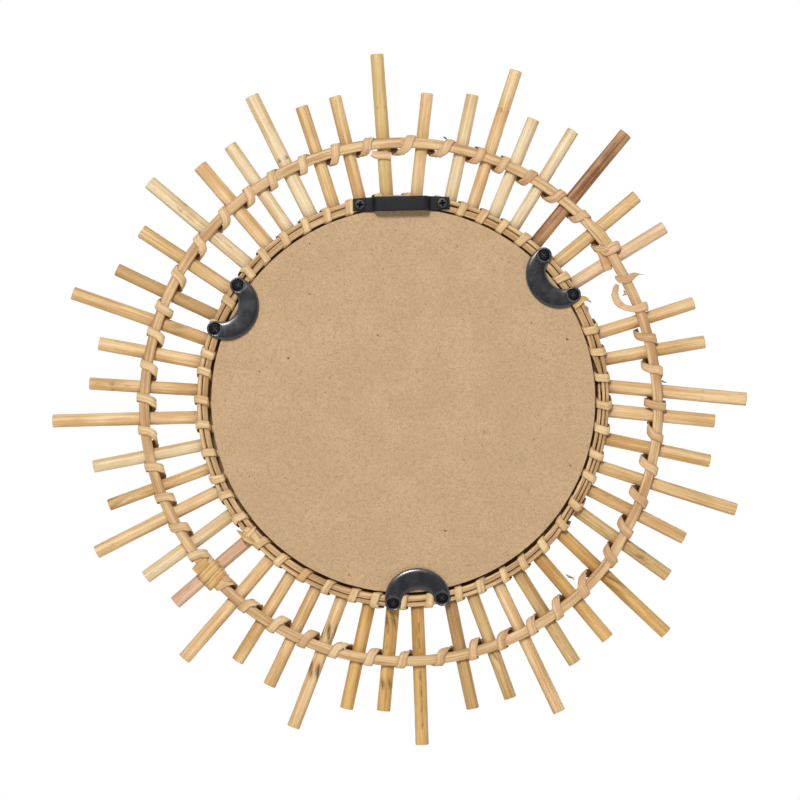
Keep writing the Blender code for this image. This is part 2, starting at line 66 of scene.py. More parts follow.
# Places read from the solids
LEDGE_LOW, LEDGE_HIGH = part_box("inner_front_hoop")
RING_X = (LEDGE_LOW.x + LEDGE_HIGH.x) / 2
RING_Z = (LEDGE_LOW.z + LEDGE_HIGH.z) / 2
STICK_LOW, STICK_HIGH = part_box("stick_00")
STICK_PLANE = (STICK_LOW.y + STICK_HIGH.y) / 2
STICK_RADIUS = (STICK_HIGH.y - STICK_LOW.y) / 2
HOOP_LOW, HOOP_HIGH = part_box("outer_back_hoop")
HOOP_NEAR = HOOP_LOW.y - STICK_PLANE
HOOP_FAR = HOOP_HIGH.y - STICK_PLANE
BOARD_LOW, BOARD_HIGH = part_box("backing_board")
BOARD_RADIUS = (BOARD_HIGH.x - BOARD_LOW.x) / 2
BOARD_X = (BOARD_HIGH.x + BOARD_LOW.x) / 2
BOARD_Z = (BOARD_HIGH.z + BOARD_LOW.z) / 2
BOARD_FRONT = BOARD_LOW.y - STICK_PLANE
BOARD_BACK = BOARD_HIGH.y - STICK_PLANE
GLASS_LOW, GLASS_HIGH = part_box("mirror_glass")
GLASS_RADIUS = (GLASS_HIGH.x - GLASS_LOW.x) / 2
GLASS_FRONT = GLASS_LOW.y - STICK_PLANE
GLASS_BACK = GLASS_HIGH.y - STICK_PLANE
HANGER_LOW, HANGER_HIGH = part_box("hanger")
CLIP_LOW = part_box("clip_left")[0]

SLOTS = 48
MISSING_SLOT = 9
STICK_SLOTS = [slot for slot in range(SLOTS) if slot != MISSING_SLOT]

# Radius of the sticks' highest places as a share of the solids', which leaves room for their unevenness, and
# the slots whose sticks are thicker or thinner than the others, with their share
STICK_FULLNESS = 1.08
THICK_STICKS = (41, 42, 43, 45)
THICK_GIRTH = 1.10
THIN_STICKS = (1, 5, 34, 37)
THIN_GIRTH = 0.92

# Coil of the inner ring, in metres: the slit lies between two strands, and the inner share is the inner
# strand's part of the width where there are two
COIL_INNER = BOARD_RADIUS + 0.0018
COIL_WIDTH = 0.0059
COIL_OUTER = COIL_INNER + COIL_WIDTH
COIL_SLIT = 0.0002
COIL_INNER_SHARE = 0.56

# Bearings between which the coil's ends lie side by side, and the degrees in which a strand changes its width
COIL_OVERLAP = (85.0, 124.0)
COIL_BLEND = 8.0

# How far the coil leans in towards the board, in metres, and the bearings about which it doesn't, in degrees
COIL_LEAN = 0.0006
WIDE_GAPS = (140.0, 262.0)
WIDE_GAP_SPREAD = 24.0

# Hoops, in metres: the ledge spreads out behind the coil, and the outer front hoop loses twice the hidden
# edge from its inside, so that the back hoop hides it
LEDGE_WIDTH = 0.0105
LEDGE_MIDDLE = (LEDGE_HIGH.x - LEDGE_LOW.x) / 2 - LEDGE_WIDTH / 2
LEDGE_SPREAD = 0.0009
HOOP_WIDTH = 0.0058
HOOP_STEPS = 720
HIDDEN_EDGE = 0.0006

# Depth of the front hoops' faces, drawn in so that the strips over them stay within the solids' depth
FRONT_INSET = 0.0007
FRONT_FACE = FRONT_INSET - HOOP_FAR

# Strips, in metres: how far the middle of one lies off the cane that it binds, how near a corner its bend
# begins and how far apart its stations are, with the share of its width that its uneven edges leave
STRIP_SEAT = 0.0004
STRIP_BEND = 0.0016
STRIP_STEP = 0.0006
STRIP_FULLNESS = 0.94

# Strips, in degrees: how far back of its band one comes up at most, less so for the inner one, how far ahead
# it goes down, and about which bearing and how far round it the outer strip's loops stand upright
BAND_BACK = 4.2
INNER_BAND_BACK = 1.6
BAND_AHEAD = 0.8
STANDING_BEARING = 250.0
STANDING_SPREAD = 62.0

# Bearings of the bands on the back of the outer ring, read from the photograph; the frayed tail, the loose
# curl and the splice are made apart
OUTER_BANDS = (
    75.5, 82.8, 91.0, 98.0, 105.0, 112.5, 120.2, 127.0, 136.3, 143.6, 150.5, 157.9, 164.4, 171.7, 180.1,
    187.3, 195.3, 202.3, 209.8, 217.6, 224.7, 226.9, 229.1, 233.4, 240.7, 248.2, 255.3, 263.4, 270.6, 277.8,
    285.2, 290.9, 299.2, 307.9, 316.2, 323.4, 329.4, 337.0, 344.8, 352.0, 361.3, 369.8, 377.4, 382.9, 389.4,
    397.1, 403.9, 413.3,
)
INNER_BANDS = (
    69.4, 75.9, 83.4, 91.3, 98.2, 105.7, 112.0, 121.2, 127.8, 135.9, 143.5, 149.8, 157.3, 163.9, 172.3,
    180.0, 188.1, 194.4, 202.2, 209.7, 217.7, 225.1, 234.7, 242.2, 247.1, 255.2, 263.3, 270.3, 278.5, 283.4,
    292.2, 299.7, 309.9, 316.3, 324.0, 331.1, 337.8, 344.5, 353.0, 361.0, 369.2, 377.2, 383.2, 389.6, 396.5,
    404.6, 412.2,
)

# Clips: bearings of their middles and turns about them in degrees, then the seat's radius and the sizes of
# the crescent in metres, with the round sunk seat of each screw
CLIP_BEARINGS = {"clip_right": 51.0, "clip_bottom": 175.8, "clip_left": 298.0}
CLIP_TWISTS = {"clip_right": 2.5, "clip_bottom": -1.7, "clip_left": 0.0}
CLIP_SEAT = COIL_INNER + 0.0024
CLIP_ARC = 0.0135
CLIP_END_WIDTH = 0.0088
CLIP_WIDENING = 0.0015
CLIP_RISE = 0.0118
CLIP_THICKNESS = 0.0024
FITTING_SEAT = CLIP_LOW.y - STICK_PLANE
SCREW_SEAT_DEPTH = 0.0011
SCREW_SEAT_RADIUS = 0.0037
SCREW_SEAT_SLOPE = 0.0008

# Screws, in metres: radius of a head, its height and foot in the clips and in the hanger, and how far below
# a clip's top it is set
SCREW_RADIUS = 0.0029
CLIP_SCREW = (0.0006, -0.0004)
CLIP_SCREW_SINK = 0.0012
HANGER_SCREW = (0.0008, -0.0006)

# Strap hanger: thickness, half length of its bridge, length of the ramps and place of its screws, in metres
STRAP_THICKNESS = 0.0012
BRIDGE_REACH = 0.01525
BRIDGE_RAMP = 0.0016
HANGER_SCREW_REACH = 0.02265

# Camera and photograph
PHOTO_PIXELS = 800
PIXEL = 0.00055
RING_CENTRE_PIXEL = (403, 401)
CAMERA_DISTANCE = 2.0
SENSOR = 36.0

# Lights: name, place from the rings' centre and size in metres, and power in watts
LIGHTS = (
    ("Key", (0.35, 2.2, 1.0), 0.50, 41.0),
    ("Glint", (-0.9, 1.7, -1.3), 0.16, 2.0),
    ("Front fill", (-1.2, -1.8, 0.5), 1.5, 14.0),
)

# Floor: radius, thickness and depth below the hanger, in metres
FLOOR_RADIUS = 4.2
FLOOR_THICKNESS = 0.02
FLOOR_BELOW = 1.0


def limited(values):
    """The values, held between 0 and 1."""
    return np.clip(values, 0, 1)


def bell(offset, width):
    """A smooth hump: 1 where the offset is 0, and about a third where it is the width."""
    return np.exp(-((offset / width) ** 2))


def offset_from(bearing, middle):
    """The shorter way from one bearing to another, in degrees between -180 and 180."""
    return (bearing - middle + 180) % 360 - 180


def full_turn(count):
    """Angles at even steps round a circle, in radians."""
    return np.linspace(0, 2 * pi, count, endpoint=False)


def stacked(x, y, z):
    """Three arrays of coordinates as one array of points."""
    return np.stack(np.broadcast_arrays(x, y, z), -1)


def unit(vectors):
    """The same directions with a length of 1."""
    return vectors / np.linalg.norm(vectors, axis=1, keepdims=True)


def length_along(path):
    """How far along a path each of its points lies."""
    return np.concatenate(([0], np.cumsum(np.linalg.norm(np.diff(path, axis=0), axis=1))))


def place(radius, bearing, depth):
    """Points of the ring frame in metres: x falls and z rises with the sine and cosine of the bearing."""
    turn = np.radians(np.asarray(bearing, float) + RING_TURN)
    radius = np.asarray(radius, float)
    depth = np.asarray(depth, float)
    x = RING_X - radius * np.sin(turn)
    z = RING_Z + radius * np.cos(turn)
    return stacked(x, STICK_PLANE + depth, z)


def seen_at(column, row, depth):
    """The place that the photograph shows at a pixel, taken at some depth and drawn in by the lens's view."""
    right = (np.asarray(column, float) - RING_CENTRE_PIXEL[0]) * PIXEL
    down = (np.asarray(row, float) - RING_CENTRE_PIXEL[1]) * PIXEL
    nearer = 1 - (depth - HOOP_NEAR) / CAMERA_DISTANCE
    return place(np.hypot(right, down) * nearer, np.degrees(np.arctan2(right, -down)), depth)


def node_points(name):
    """The corners of a CAD node as an array."""
    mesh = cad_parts[name].data
    points = np.empty(len(mesh.vertices) * 3, np.float32)
    mesh.vertices.foreach_get("co", points)
    return points.reshape(-1, 3).astype(float)


def ring_values(points):
    """Radius and bearing of points in metres."""
    x = RING_X - points[:, 0]
    z = points[:, 2] - RING_Z
    return np.hypot(x, z), np.degrees(np.arctan2(x, z)) - RING_TURN


def hoop_middle(name):
    """Bearings and middle radii of a flat hoop: midway between the nearest and farthest corner there."""
    radius, bearing = ring_values(node_points(name))
    stations = np.round(bearing, 1) % 360
    found = np.unique(stations)
    middle = [(radius[stations == b].min() + radius[stations == b].max()) / 2 for b in found]
    return found, np.array(middle)


HOOP_LINES = {name: hoop_middle(name) for name in ("outer_back_hoop", "outer_front_hoop")}


def hoop_radius(name, bearing):
    """Middle radius of an outer hoop at any bearing, even between the CAD's stations."""
    found, middle = HOOP_LINES[name]
    return np.interp(np.asarray(bearing, float) % 360, found, middle, period=360)


def waves(values, seed):
    """Smooth unevenness between about -1 and 1: three sines with seeded phases, each half as high."""
    rng = np.random.default_rng(seed)
    total = np.zeros_like(np.asarray(values, float))
    for octave in range(3):
        total += np.sin(values * 2.1**octave + rng.uniform(0, 2 * pi)) / 2**octave
    return total / 1.75


def super_ellipse(turn, half_width, half_depth, power):
    """A rounded rectangle: the cosine and sine of the turn, each drawn out by one power."""
    c, s = np.cos(turn), np.sin(turn)
    across = half_width * np.sign(c) * np.abs(c) ** (2 / power)
    up = half_depth * np.sign(s) * np.abs(s) ** (2 / power)
    return across, up


def skin(name, rings, grain=None, ring_closed=False, stain_and_shade=0.0, cut=0.0):
    """One closed skin over rings of points, as a mesh.

    Neighbouring rings are joined by quads. On an open path each end is closed by a fan to the middle of its
    ring, and on a closed one the last ring joins the first. If the volume, a sum of triple products, comes
    out negative, every face is turned round. Grain is the place in the fibres, for cane only. The darkening
    share and cut are shares from 0 to 1 that the materials read; the darkening stands for real stains and
    marks and also for painted shade at edges, in grooves, gaps and recesses and beside the coil.
    """
    stations, around = rings.shape[:2]
    rows = np.empty((stations, around, 8))
    rows[..., :3] = rings
    rows[..., 3:6] = rings if grain is None else grain
    rows[..., 6] = stain_and_shade
    rows[..., 7] = cut
    index = np.arange(stations * around).reshape(stations, around)
    beside = np.roll(index, -1, axis=1)
    if ring_closed:
        corners = (index, beside, np.roll(beside, -1, axis=0), np.roll(index, -1, axis=0))
        ends = np.empty((0, 3), int)
        rows = rows.reshape(-1, 8)
    else:
        corners = (index[:-1], beside[:-1], beside[1:], index[1:])
        first = np.full(around, stations * around)
        ends = np.vstack((
            np.stack((first, beside[0], index[0]), -1),
            np.stack((first + 1, index[-1], beside[-1]), -1),
        ))
        rows = np.vstack((rows.reshape(-1, 8), rows[0].mean(0), rows[-1].mean(0)))
    quads = np.stack(corners, -1).reshape(-1, 4)
    points = rows[:, :3]
    a, b, c, d = (points[quads[:, i]] for i in range(4))
    e, f, g = (points[ends[:, i]] for i in range(3))
    volume = (a * np.cross(b, c)).sum() + (a * np.cross(c, d)).sum() + (e * np.cross(f, g)).sum()
    if volume < 0:
        quads, ends = quads[:, ::-1], ends[:, ::-1]
    mesh = bpy.data.meshes.new(name)
    mesh.from_pydata(points, [], quads.tolist() + ends.tolist())
    mesh.attributes.new("grain", "FLOAT_VECTOR", "POINT").data.foreach_set("vector", rows[:, 3:6].ravel())
    for key, column in (("stain_and_shade", 6), ("cut", 7)):
        mesh.attributes.new(key, "FLOAT", "POINT").data.foreach_set("value", rows[:, column].ravel())
    mesh.shade_smooth()
    mesh.set_sharp_from_angle(angle=radians(50))
    return mesh


def show(mesh, material, slot, *nodes):
    """Links a finished mesh as a piece of its name that rides on the root and stands for its CAD nodes."""
    piece = bpy.data.objects.new(mesh.name, mesh)
    mesh.materials.append(material)
    bpy.context.scene.collection.objects.link(piece)
    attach(piece, "root")
    if nodes:
        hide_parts(*nodes)


class Nodes:
    """A node tree with short calls for the nodes that the finishes and the surroundings share."""

    def __init__(self, tree):
        self.tree = tree

    def node(self, kind, inputs=None, **settings):
        made = self.tree.nodes.new(kind)
        for key, value in settings.items():
            setattr(made, key, value)
        for key, value in (inputs or {}).items():
            self.feed(made.inputs[key], value)
        return made

    def feed(self, socket, value):
        if isinstance(value, bpy.types.NodeSocket):
            self.tree.links.new(value, socket)
        else:
            socket.default_value = value

    def attribute(self, name, output="Fac"):
        return self.node("ShaderNodeAttribute", attribute_name=name).outputs[output]

    def objects_place(self):
        return self.node("ShaderNodeTexCoord").outputs["Object"]

    def scaled(self, vector, scale):
        return self.node("ShaderNodeMapping", {"Vector": vector, "Scale": scale}).outputs["Vector"]

    def separate(self, vector, axis):
        return self.node("ShaderNodeSeparateXYZ", {"Vector": vector}).outputs[axis]

    def noise(self, vector, scale=1.0, detail=3.0, distortion=0.0):
        made = self.node("ShaderNodeTexNoise", {"Vector": vector, "Scale": scale, "Roughness": 0.55})
        made.inputs["Detail"].default_value = detail
        made.inputs["Distortion"].default_value = distortion
        return made.outputs["Fac"]

    def fade(self, value, low, high, to_low=0.0, to_high=1.0, curve="SMOOTHSTEP"):
        inputs = {"Value": value, "From Min": low, "From Max": high, "To Min": to_low, "To Max": to_high}
        return self.node("ShaderNodeMapRange", inputs, interpolation_type=curve).outputs["Result"]

    def maths(self, operation, a, b):
        return self.node("ShaderNodeMath", {0: a, 1: b}, operation=operation).outputs["Value"]

    def mix(self, share, a, b, blend="MIX"):
        """A mix of two colours, whose sockets are the inputs 6 and 7 and the output 2 of the node."""
        a, b = (value if isinstance(value, bpy.types.NodeSocket) else (*value, 1.0) for value in (a, b))
        inputs = {"Factor": share, 6: a, 7: b}
        return self.node("ShaderNodeMix", inputs, data_type="RGBA", blend_type=blend).outputs[2]

    def background(self, strength):
        inputs = {"Color": (1, 1, 1, 1), "Strength": strength}
        return self.node("ShaderNodeBackground", inputs).outputs["Background"]

    def mix_shaders(self, share, a, b):
        return self.node("ShaderNodeMixShader", {"Fac": share, 1: a, 2: b}).outputs["Shader"]

    def bump(self, height, distance, strength):
        inputs = {"Height": height, "Distance": distance, "Strength": strength}
        return self.node("ShaderNodeBump", inputs).outputs["Normal"]


class Shading(Nodes):
    """The node tree of a new material, with its main shader."""

    def __init__(self, name, roughness, metallic=0.0, specular=0.5):
        self.material = bpy.data.materials.new(name)
        self.material.use_nodes = True
        super().__init__(self.material.node_tree)
        self.shader = self.tree.nodes["Principled BSDF"]
        self.set({"Roughness": roughness, "Metallic": metallic, "Specular IOR Level": specular})

    def set(self, inputs):
        for key, value in inputs.items():
            self.feed(self.shader.inputs[key], value)

    def finish(self, colour, roughness=None, normal=None):
        inputs = {"Base Color": colour, "Roughness": roughness, "Normal": normal}
        self.set({key: value for key, value in inputs.items() if value is not None})
        return self.material


def linear(red, green, blue):
    """Linear colour from screen values of 0 to 255, by the usual screen curve."""
    found = []
    for value in (red, green, blue):
        share = value / 255
        found.append(share / 12.92 if share <= 0.04045 else ((share + 0.055) / 1.055) ** 2.4)
    return tuple(found)


def shaded(tone, factor):
    """A tone made darker or lighter by a factor."""
    return tuple(min(1.0, value * factor) for value in tone)


def cane_material(name, light, dark, streak, speck=0.3, right=None):
    """Peeled or polished cane: streaks and fibres along the grain, blotches, dark specks and stains.

    Three noises, each drawn out along the grain, mix a dark and a light tone. The darkening share adds
    brown: real marks and dark lines, and painted shade at the sticks' roots, along edges, in grooves and gaps
    and on faces turned into shade. Cut adds the pale pores of a sawn end. Right is a tint that multiplies
    the tone towards the photograph's right.
    """
    s = Shading(name, 0.5, specular=0.35)
    grain = s.attribute("grain", "Vector")
    fibres = s.noise(s.scaled(grain, (2600, 2600, 70)), detail=4)
    streaks = s.noise(s.scaled(grain, (620, 620, 14)), detail=3, distortion=0.3)
    blotches = s.noise(s.scaled(grain, (110, 110, 38)), detail=3)
    tone = s.maths("ADD", s.maths("MULTIPLY", streaks, streak), s.maths("MULTIPLY", blotches, 1 - streak))
    body = s.mix(s.fade(tone, 0.38, 0.62), dark, light)
    if right is not None:
        to_right = s.fade(s.separate(s.objects_place(), "X"), -0.05, 0.08, 1.0, 0.0)
        body = s.mix(to_right, body, right, "MULTIPLY")
    body = s.mix(s.fade(fibres, 0.45, 0.75, 0.0, 0.35), body, shaded(dark, 0.55))
    specks = s.noise(s.scaled(grain, (1500, 1500, 260)), detail=2)
    body = s.mix(s.fade(specks, 0.70, 0.80, 0.0, speck), body, linear(110, 72, 38))
    # Real marks and painted shade alike darken towards the same brown here.
    stain_and_shade = s.maths("MULTIPLY", s.attribute("stain_and_shade"), s.fade(streaks, 0.3, 0.6, 0.55, 1.0))
    body = s.mix(stain_and_shade, body, linear(92, 58, 30))
    pores = s.noise(s.scaled(grain, (3400, 3400, 3400)), detail=2)
    sawn = s.mix(s.fade(pores, 0.45, 0.62), shaded(light, 0.8), shaded(dark, 0.35))
    body = s.mix(s.attribute("cut"), body, sawn)
    height = s.maths("ADD", fibres, s.maths("MULTIPLY", streaks, 1.5))
    return s.finish(body, s.fade(fibres, 0.3, 0.7, 0.42, 0.64), s.bump(height, 0.00012, 0.6))


STICK_TONES = {
    "cream": ((244, 223, 183), (219, 185, 132)),
    "reed": ((232, 206, 146), (208, 172, 108)),
    "pale": ((246, 214, 164), (214, 168, 110)),
    "straw": ((238, 204, 150), (204, 158, 98)),
    "orange": ((229, 186, 118), (192, 143, 76)),
    "dun": ((208, 168, 112), (172, 132, 82)),
    "olive": ((226, 192, 134), (184, 144, 88)),
    "pink": ((236, 202, 168), (208, 162, 128)),
    "red": ((206, 160, 112), (132, 84, 48)),
    "rosy": ((242, 210, 170), (216, 174, 130)),
}
TONE_SLOTS = {
    "cream": (2, 4, 5, 32, 35, 42, 44, 45),
    "reed": (0,),
    "straw": (7, 11, 14, 15, 16, 28, 29, 34, 37, 39, 41, 46, 47),
    "orange": (18, 19, 24, 25, 26),
    "dun": (23, 40),
    "olive": (17, 20, 22),
    "pink": (31,),
    "red": (6,),
    "rosy": (8,),
}

# Marks on single sticks, as slot, distance from the rings' centre, half length along the stick and strength
STICK_MARKS = (
    (27, 0.156, 0.0034, 2.6), (27, 0.1335, 0.0036, 2.6), (45, 0.1485, 0.0008, 1.4), (42, 0.161, 0.0008, 0.8),
    (12, 0.1655, 0.0006, 0.4), (3, 0.1690, 0.0010, 0.8), (18, 0.1500, 0.0100, 0.9), (25, 0.1560, 0.0030, 1.2),
    (34, 0.1700, 0.0120, 0.7), (37, 0.1600, 0.0010, 0.9), (0, 0.1620, 0.0007, 0.5), (25, 0.1210, 0.0040, 1.3),
    (22, 0.1480, 0.0060, 0.8), (17, 0.1560, 0.0030, 0.8), (39, 0.1300, 0.0040, 0.7),
)

# Dark lines along single sticks, as slot, place across as a share of the radius, first and last distance from
# the rings' centre, and strength
STICK_LINES = (
    (24, 0.12, 0.1180, 0.1820, 1.0), (24, -0.35, 0.1240, 0.1320, 0.6), (6, 0.30, 0.1150, 0.1850, 0.9),
    (6, -0.15, 0.1400, 0.1900, 0.7), (25, -0.45, 0.1180, 0.1380, 0.8), (42, 0.20, 0.1300, 0.1650, 0.5),
    (42, -0.30, 0.1250, 0.1600, 0.45), (11, -0.55, 0.1150, 0.1450, 0.5), (34, 0.35, 0.1450, 0.1750, 0.5),
    (17, 0.10, 0.1250, 0.1600, 0.5), (20, -0.20, 0.1300, 0.1650, 0.5), (37, -0.10, 0.1400, 0.1700, 0.6),
    (16, 0.35, 0.1200, 0.1500, 0.5), (31, -0.40, 0.1400, 0.1650, 0.5),
)


def stick_ends(name):
    """Both ends of a straight stick's axis, foot first, and the two directions across it.

    The axis is the direction in which the solid's corners spread most. Across lies in the plane of the rings.
    """
    points = node_points(name)
    middle = points.mean(0)
    axis = np.linalg.svd(points - middle, full_matrices=False)[2][0]
    reach = (points - middle) @ axis
    ends = np.array([middle + axis * reach.min(), middle + axis * reach.max()])
    if ring_values(ends)[0][0] > ring_values(ends)[0][1]:
        ends = ends[::-1]
    along = (ends[1] - ends[0]) / np.linalg.norm(ends[1] - ends[0])
    back = np.array((0.0, 1.0, 0.0))
    across = np.cross(back, along)
    return ends, along, across / np.linalg.norm(across), back


def stick_mesh(name, slot, around):
    """A round stick as rings across its axis.

    The radius is the solid's times the fullness and the stick's girth, less a small unevenness in the angle
    and along the stick. Each end is a sawn face of rings at one place, with a worn rim of 0.4 mm.
    """
    ends, along, across, back = stick_ends(name)
    length = np.linalg.norm(ends[1] - ends[0])
    face = [0.0, 0.0, 0.0, 0.0, 0.00012, 0.0004]
    share = [0.25, 0.55, 0.80, 0.90, 0.97, 1.0]
    run = np.linspace(0.0015, length - 0.0015, 70)
    down = np.concatenate((face, run, length - np.array(face[::-1])))
    size = np.concatenate((share, np.ones(len(run)), share[::-1]))
    turn = full_turn(around)
    uneven = 0.022 * (1 + waves(down[:, None] * 60 + np.cos(turn)[None] * 1.3, slot))
    oval = 0.03 * (1 - np.cos(2 * turn + slot))[None]
    girth = THICK_GIRTH if slot in THICK_STICKS else THIN_GIRTH if slot in THIN_STICKS else 1.0
    radius = STICK_RADIUS * STICK_FULLNESS * girth * size[:, None] * (1 - uneven - oval)
    sawn = np.where(size < 0.95, 1.0, 0.0)[:, None]
    dents = sawn * 0.00010 * waves(turn * 3 + size[:, None] * 9, slot + 60)
    inwards = np.where(down < length / 2, 1, -1)[:, None]
    reach = down[:, None] + inwards * np.abs(dents)
    bow = 0.00015 * np.sin(down / length * pi) * np.sin(slot * 2.4)
    rings = (
        ends[0]
        + along * reach[..., None]
        + across * (radius * np.cos(turn) + bow[:, None])[..., None]
        + back * (radius * np.sin(turn))[..., None]
    )
    offset = slot * 0.37
    grain = stacked(radius * np.cos(turn), radius * np.sin(turn) + offset, reach)
    cut = np.where(size < 0.93, 1.0, 0.0)[:, None]
    stain_and_shade = 0.9 * bell(size - 0.93, 0.035)[:, None] * np.ones(around)
    centre_distance = np.linalg.norm(ends[0] - place(0.0, 0.0, 0.0)) + down
    for marked, distance, half_length, strength in STICK_MARKS:
        if marked == slot:
            ring = strength * bell(centre_distance - distance, half_length)
            patchy = 0.25 + 0.9 * waves(turn[None] * 5 + centre_distance[:, None] * 420, slot + 7)
            stain_and_shade = np.maximum(stain_and_shade, np.clip(ring[:, None] * patchy, 0, 0.95))
    for marked, where, first, last, strength in STICK_LINES:
        if marked == slot:
            line = where + 0.07 * waves(centre_distance * 300, slot + 9)[:, None]
            thin = bell(np.cos(turn)[None] - line, 0.11) * (np.sin(turn) > 0)
            length_share = limited(np.minimum(centre_distance - first, last - centre_distance) / 0.002)
            broken = limited(0.6 + 0.7 * waves(centre_distance * 700, slot + 11))
            stain_and_shade = np.maximum(stain_and_shade, strength * thin * (length_share * broken)[:, None])
    # Painted shade: each stick darkens just outside the coil, where the coil's shadow falls on it.
    root = 0.45 * np.exp(-limited(centre_distance - COIL_OUTER) / 0.0022)
    stain_and_shade = np.maximum(stain_and_shade, root[:, None])
    return skin(f"cane_{name}", rings, grain, stain_and_shade=stain_and_shade, cut=cut)


def sweep_hoop(name, middle, half_width, low, high, seed, seams=(), back_shade=0.0):
    """A hoop: a rounded rectangle carried round the ring.

    Middle is an array of radii, one for each step. Seams are grooves along the hoop's back: a place across
    as a share of the half width, and the bearings where each begins and ends. The last argument darkens
    its back with painted shade, and both edges always get a thin line of painted shade.
    """
    bearing = np.arange(HOOP_STEPS) * 360 / HOOP_STEPS
    turn = full_turn(28)
    across, up = super_ellipse(turn, half_width, (high - low) / 2, 3.2)
    length = np.radians(bearing)[:, None] * middle[:, None]
    uneven = 1 - 0.02 * (1 + waves(bearing[:, None] * 0.12 + across[None] * 700, seed))
    across = across[None] * uneven
    up = up[None] * (1 - 0.03 * (1 + waves(bearing[:, None] * 0.2 + turn[None], seed + 1)))
    for where, start, end in seams:
        inside = limited(np.minimum(bearing - start, end - bearing) / 2)
        groove = bell(across / half_width - where, 0.09) * (np.sin(turn) > 0)
        up = up - 0.0006 * groove * inside[:, None]
    depth = (low + high) / 2 + up
    rings = place(middle[:, None] + across, bearing[:, None], depth)
    grain = stacked(across, up + seed, length)
    # Painted shade: a thin dark line along both edges, and the back darkened where asked.
    edge = 0.35 * limited((np.abs(across) / half_width - 0.86) / 0.14)
    return skin(name, rings, grain, ring_closed=True, stain_and_shade=np.maximum(edge, back_shade * (np.sin(turn) > -0.1)))


def coil_lean(bearing):
    """How far the coil comes in towards the board: less about the bearings where the gap is wide."""
    wide = sum(bell(offset_from(bearing, middle), WIDE_GAP_SPREAD) for middle in WIDE_GAPS)
    return COIL_LEAN * limited(1 - wide)


def coil_edges(turned):
    """Inner and outer radius of the wound cane after some degrees, from stations joined by straight lines.

    It lies in two strands, and in three where its ends lie side by side.
    """
    start, end = COIL_OVERLAP
    inner_strand = (COIL_WIDTH - COIL_SLIT) * COIL_INNER_SHARE
    triple = (COIL_WIDTH - 2 * COIL_SLIT) / 3
    third = triple + COIL_SLIT
    gape = 0.0007 * limited(waves(turned * 0.09, 31) - 0.15)
    stations = [
        start, end, end + COIL_BLEND, start + 360 - COIL_BLEND, start + 360, end + 360,
        end + 360 + COIL_BLEND, start + 720 - COIL_BLEND, start + 720, end + 720,
    ]
    low = [0, 0, 0, 0, third, third, inner_strand + COIL_SLIT, inner_strand + COIL_SLIT, 2 * third, 2 * third]
    high = [triple, triple, inner_strand, inner_strand, third + triple, third + triple,
            COIL_WIDTH, COIL_WIDTH, COIL_WIDTH, COIL_WIDTH]
    inner = COIL_INNER + np.interp(turned, stations, low)
    outer = COIL_INNER + np.interp(turned, stations, high)
    first_turn = limited((start + 360 - turned) / COIL_BLEND)
    return inner - coil_lean(turned) * first_turn, outer - gape * first_turn


def coil_mesh():
    """The coil of the inner ring: a rounded rectangle carried along two turns, thin at both ends."""
    start, end = COIL_OVERLAP
    turned = np.linspace(start, end + 720, 1500)
    low, high = coil_edges(turned)
    middle, half = (low + high) / 2, (high - low) / 2
    near_end = np.minimum(turned - start, end + 720 - turned)
    half = half * (0.35 + 0.65 * limited(near_end / 9) ** 0.7)
    turn = full_turn(36)
    across, up = super_ellipse(turn, 1.0, 1.0, 3.0)
    across = across * (1 + 0.10 * limited(0.3 - np.sin(turn)))
    half_depth = (HOOP_FAR - HOOP_NEAR) / 2
    lift = -0.00022 * (1 + waves(turned * 0.15, 5))
    uneven = 1 - 0.02 * (1 + waves(turned[:, None] * 0.2 + turn[None], 8))
    furrow = np.zeros((len(turned), len(turn)))
    for where, wander, seed in ((-0.38, 0.10, 11), (0.02, 0.14, 12), (0.42, 0.10, 13)):
        line = where + wander * waves(turned * 0.05, seed)[:, None]
        share = limited(0.45 + 0.7 * waves(turned * 0.11, seed + 4))[:, None]
        furrow = np.maximum(furrow, share * bell(across[None] - line, 0.09) * (np.sin(turn) > 0))
    depth = HOOP_NEAR + half_depth + lift[:, None] + half_depth * 0.92 * up[None] - 0.00030 * furrow
    radius = middle[:, None] + half[:, None] * across[None] * uneven
    rings = place(radius, turned[:, None], depth)
    length = np.radians(turned)[:, None] * middle[:, None]
    grain = stacked(radius - middle[:, None], depth, length)
    # Painted shade: both sides of the coil go dark, where the gaps beside it lie in shade, and so do the
    # furrows between its strands.
    edge = limited((np.abs(across) - 0.86) / 0.14)[None] * 0.9
    return skin("coil_inner_back", rings, grain, stain_and_shade=np.maximum(edge, 0.55 * furrow))


def round_corners(points, reach, steps):
    """A smoother path: each corner of a polyline gives way to a curve that starts and ends near it.

    The curve is a quadratic one whose middle control point is the corner. Reach is how far from the corner
    it starts, at most half of the side.
    """
    corner = points[1:-1]
    start, end = (
        corner + side * np.minimum(0.5, reach / np.linalg.norm(side, axis=1, keepdims=True))
        for side in (points[:-2] - corner, points[2:] - corner)
    )
    t = np.linspace(0, 1, steps)[None, :, None]
    curve = (1 - t) ** 2 * start[:, None] + 2 * t * (1 - t) * corner[:, None] + t**2 * end[:, None]
    return np.vstack((points[:1], curve.reshape(-1, points.shape[1]), points[-1:]))


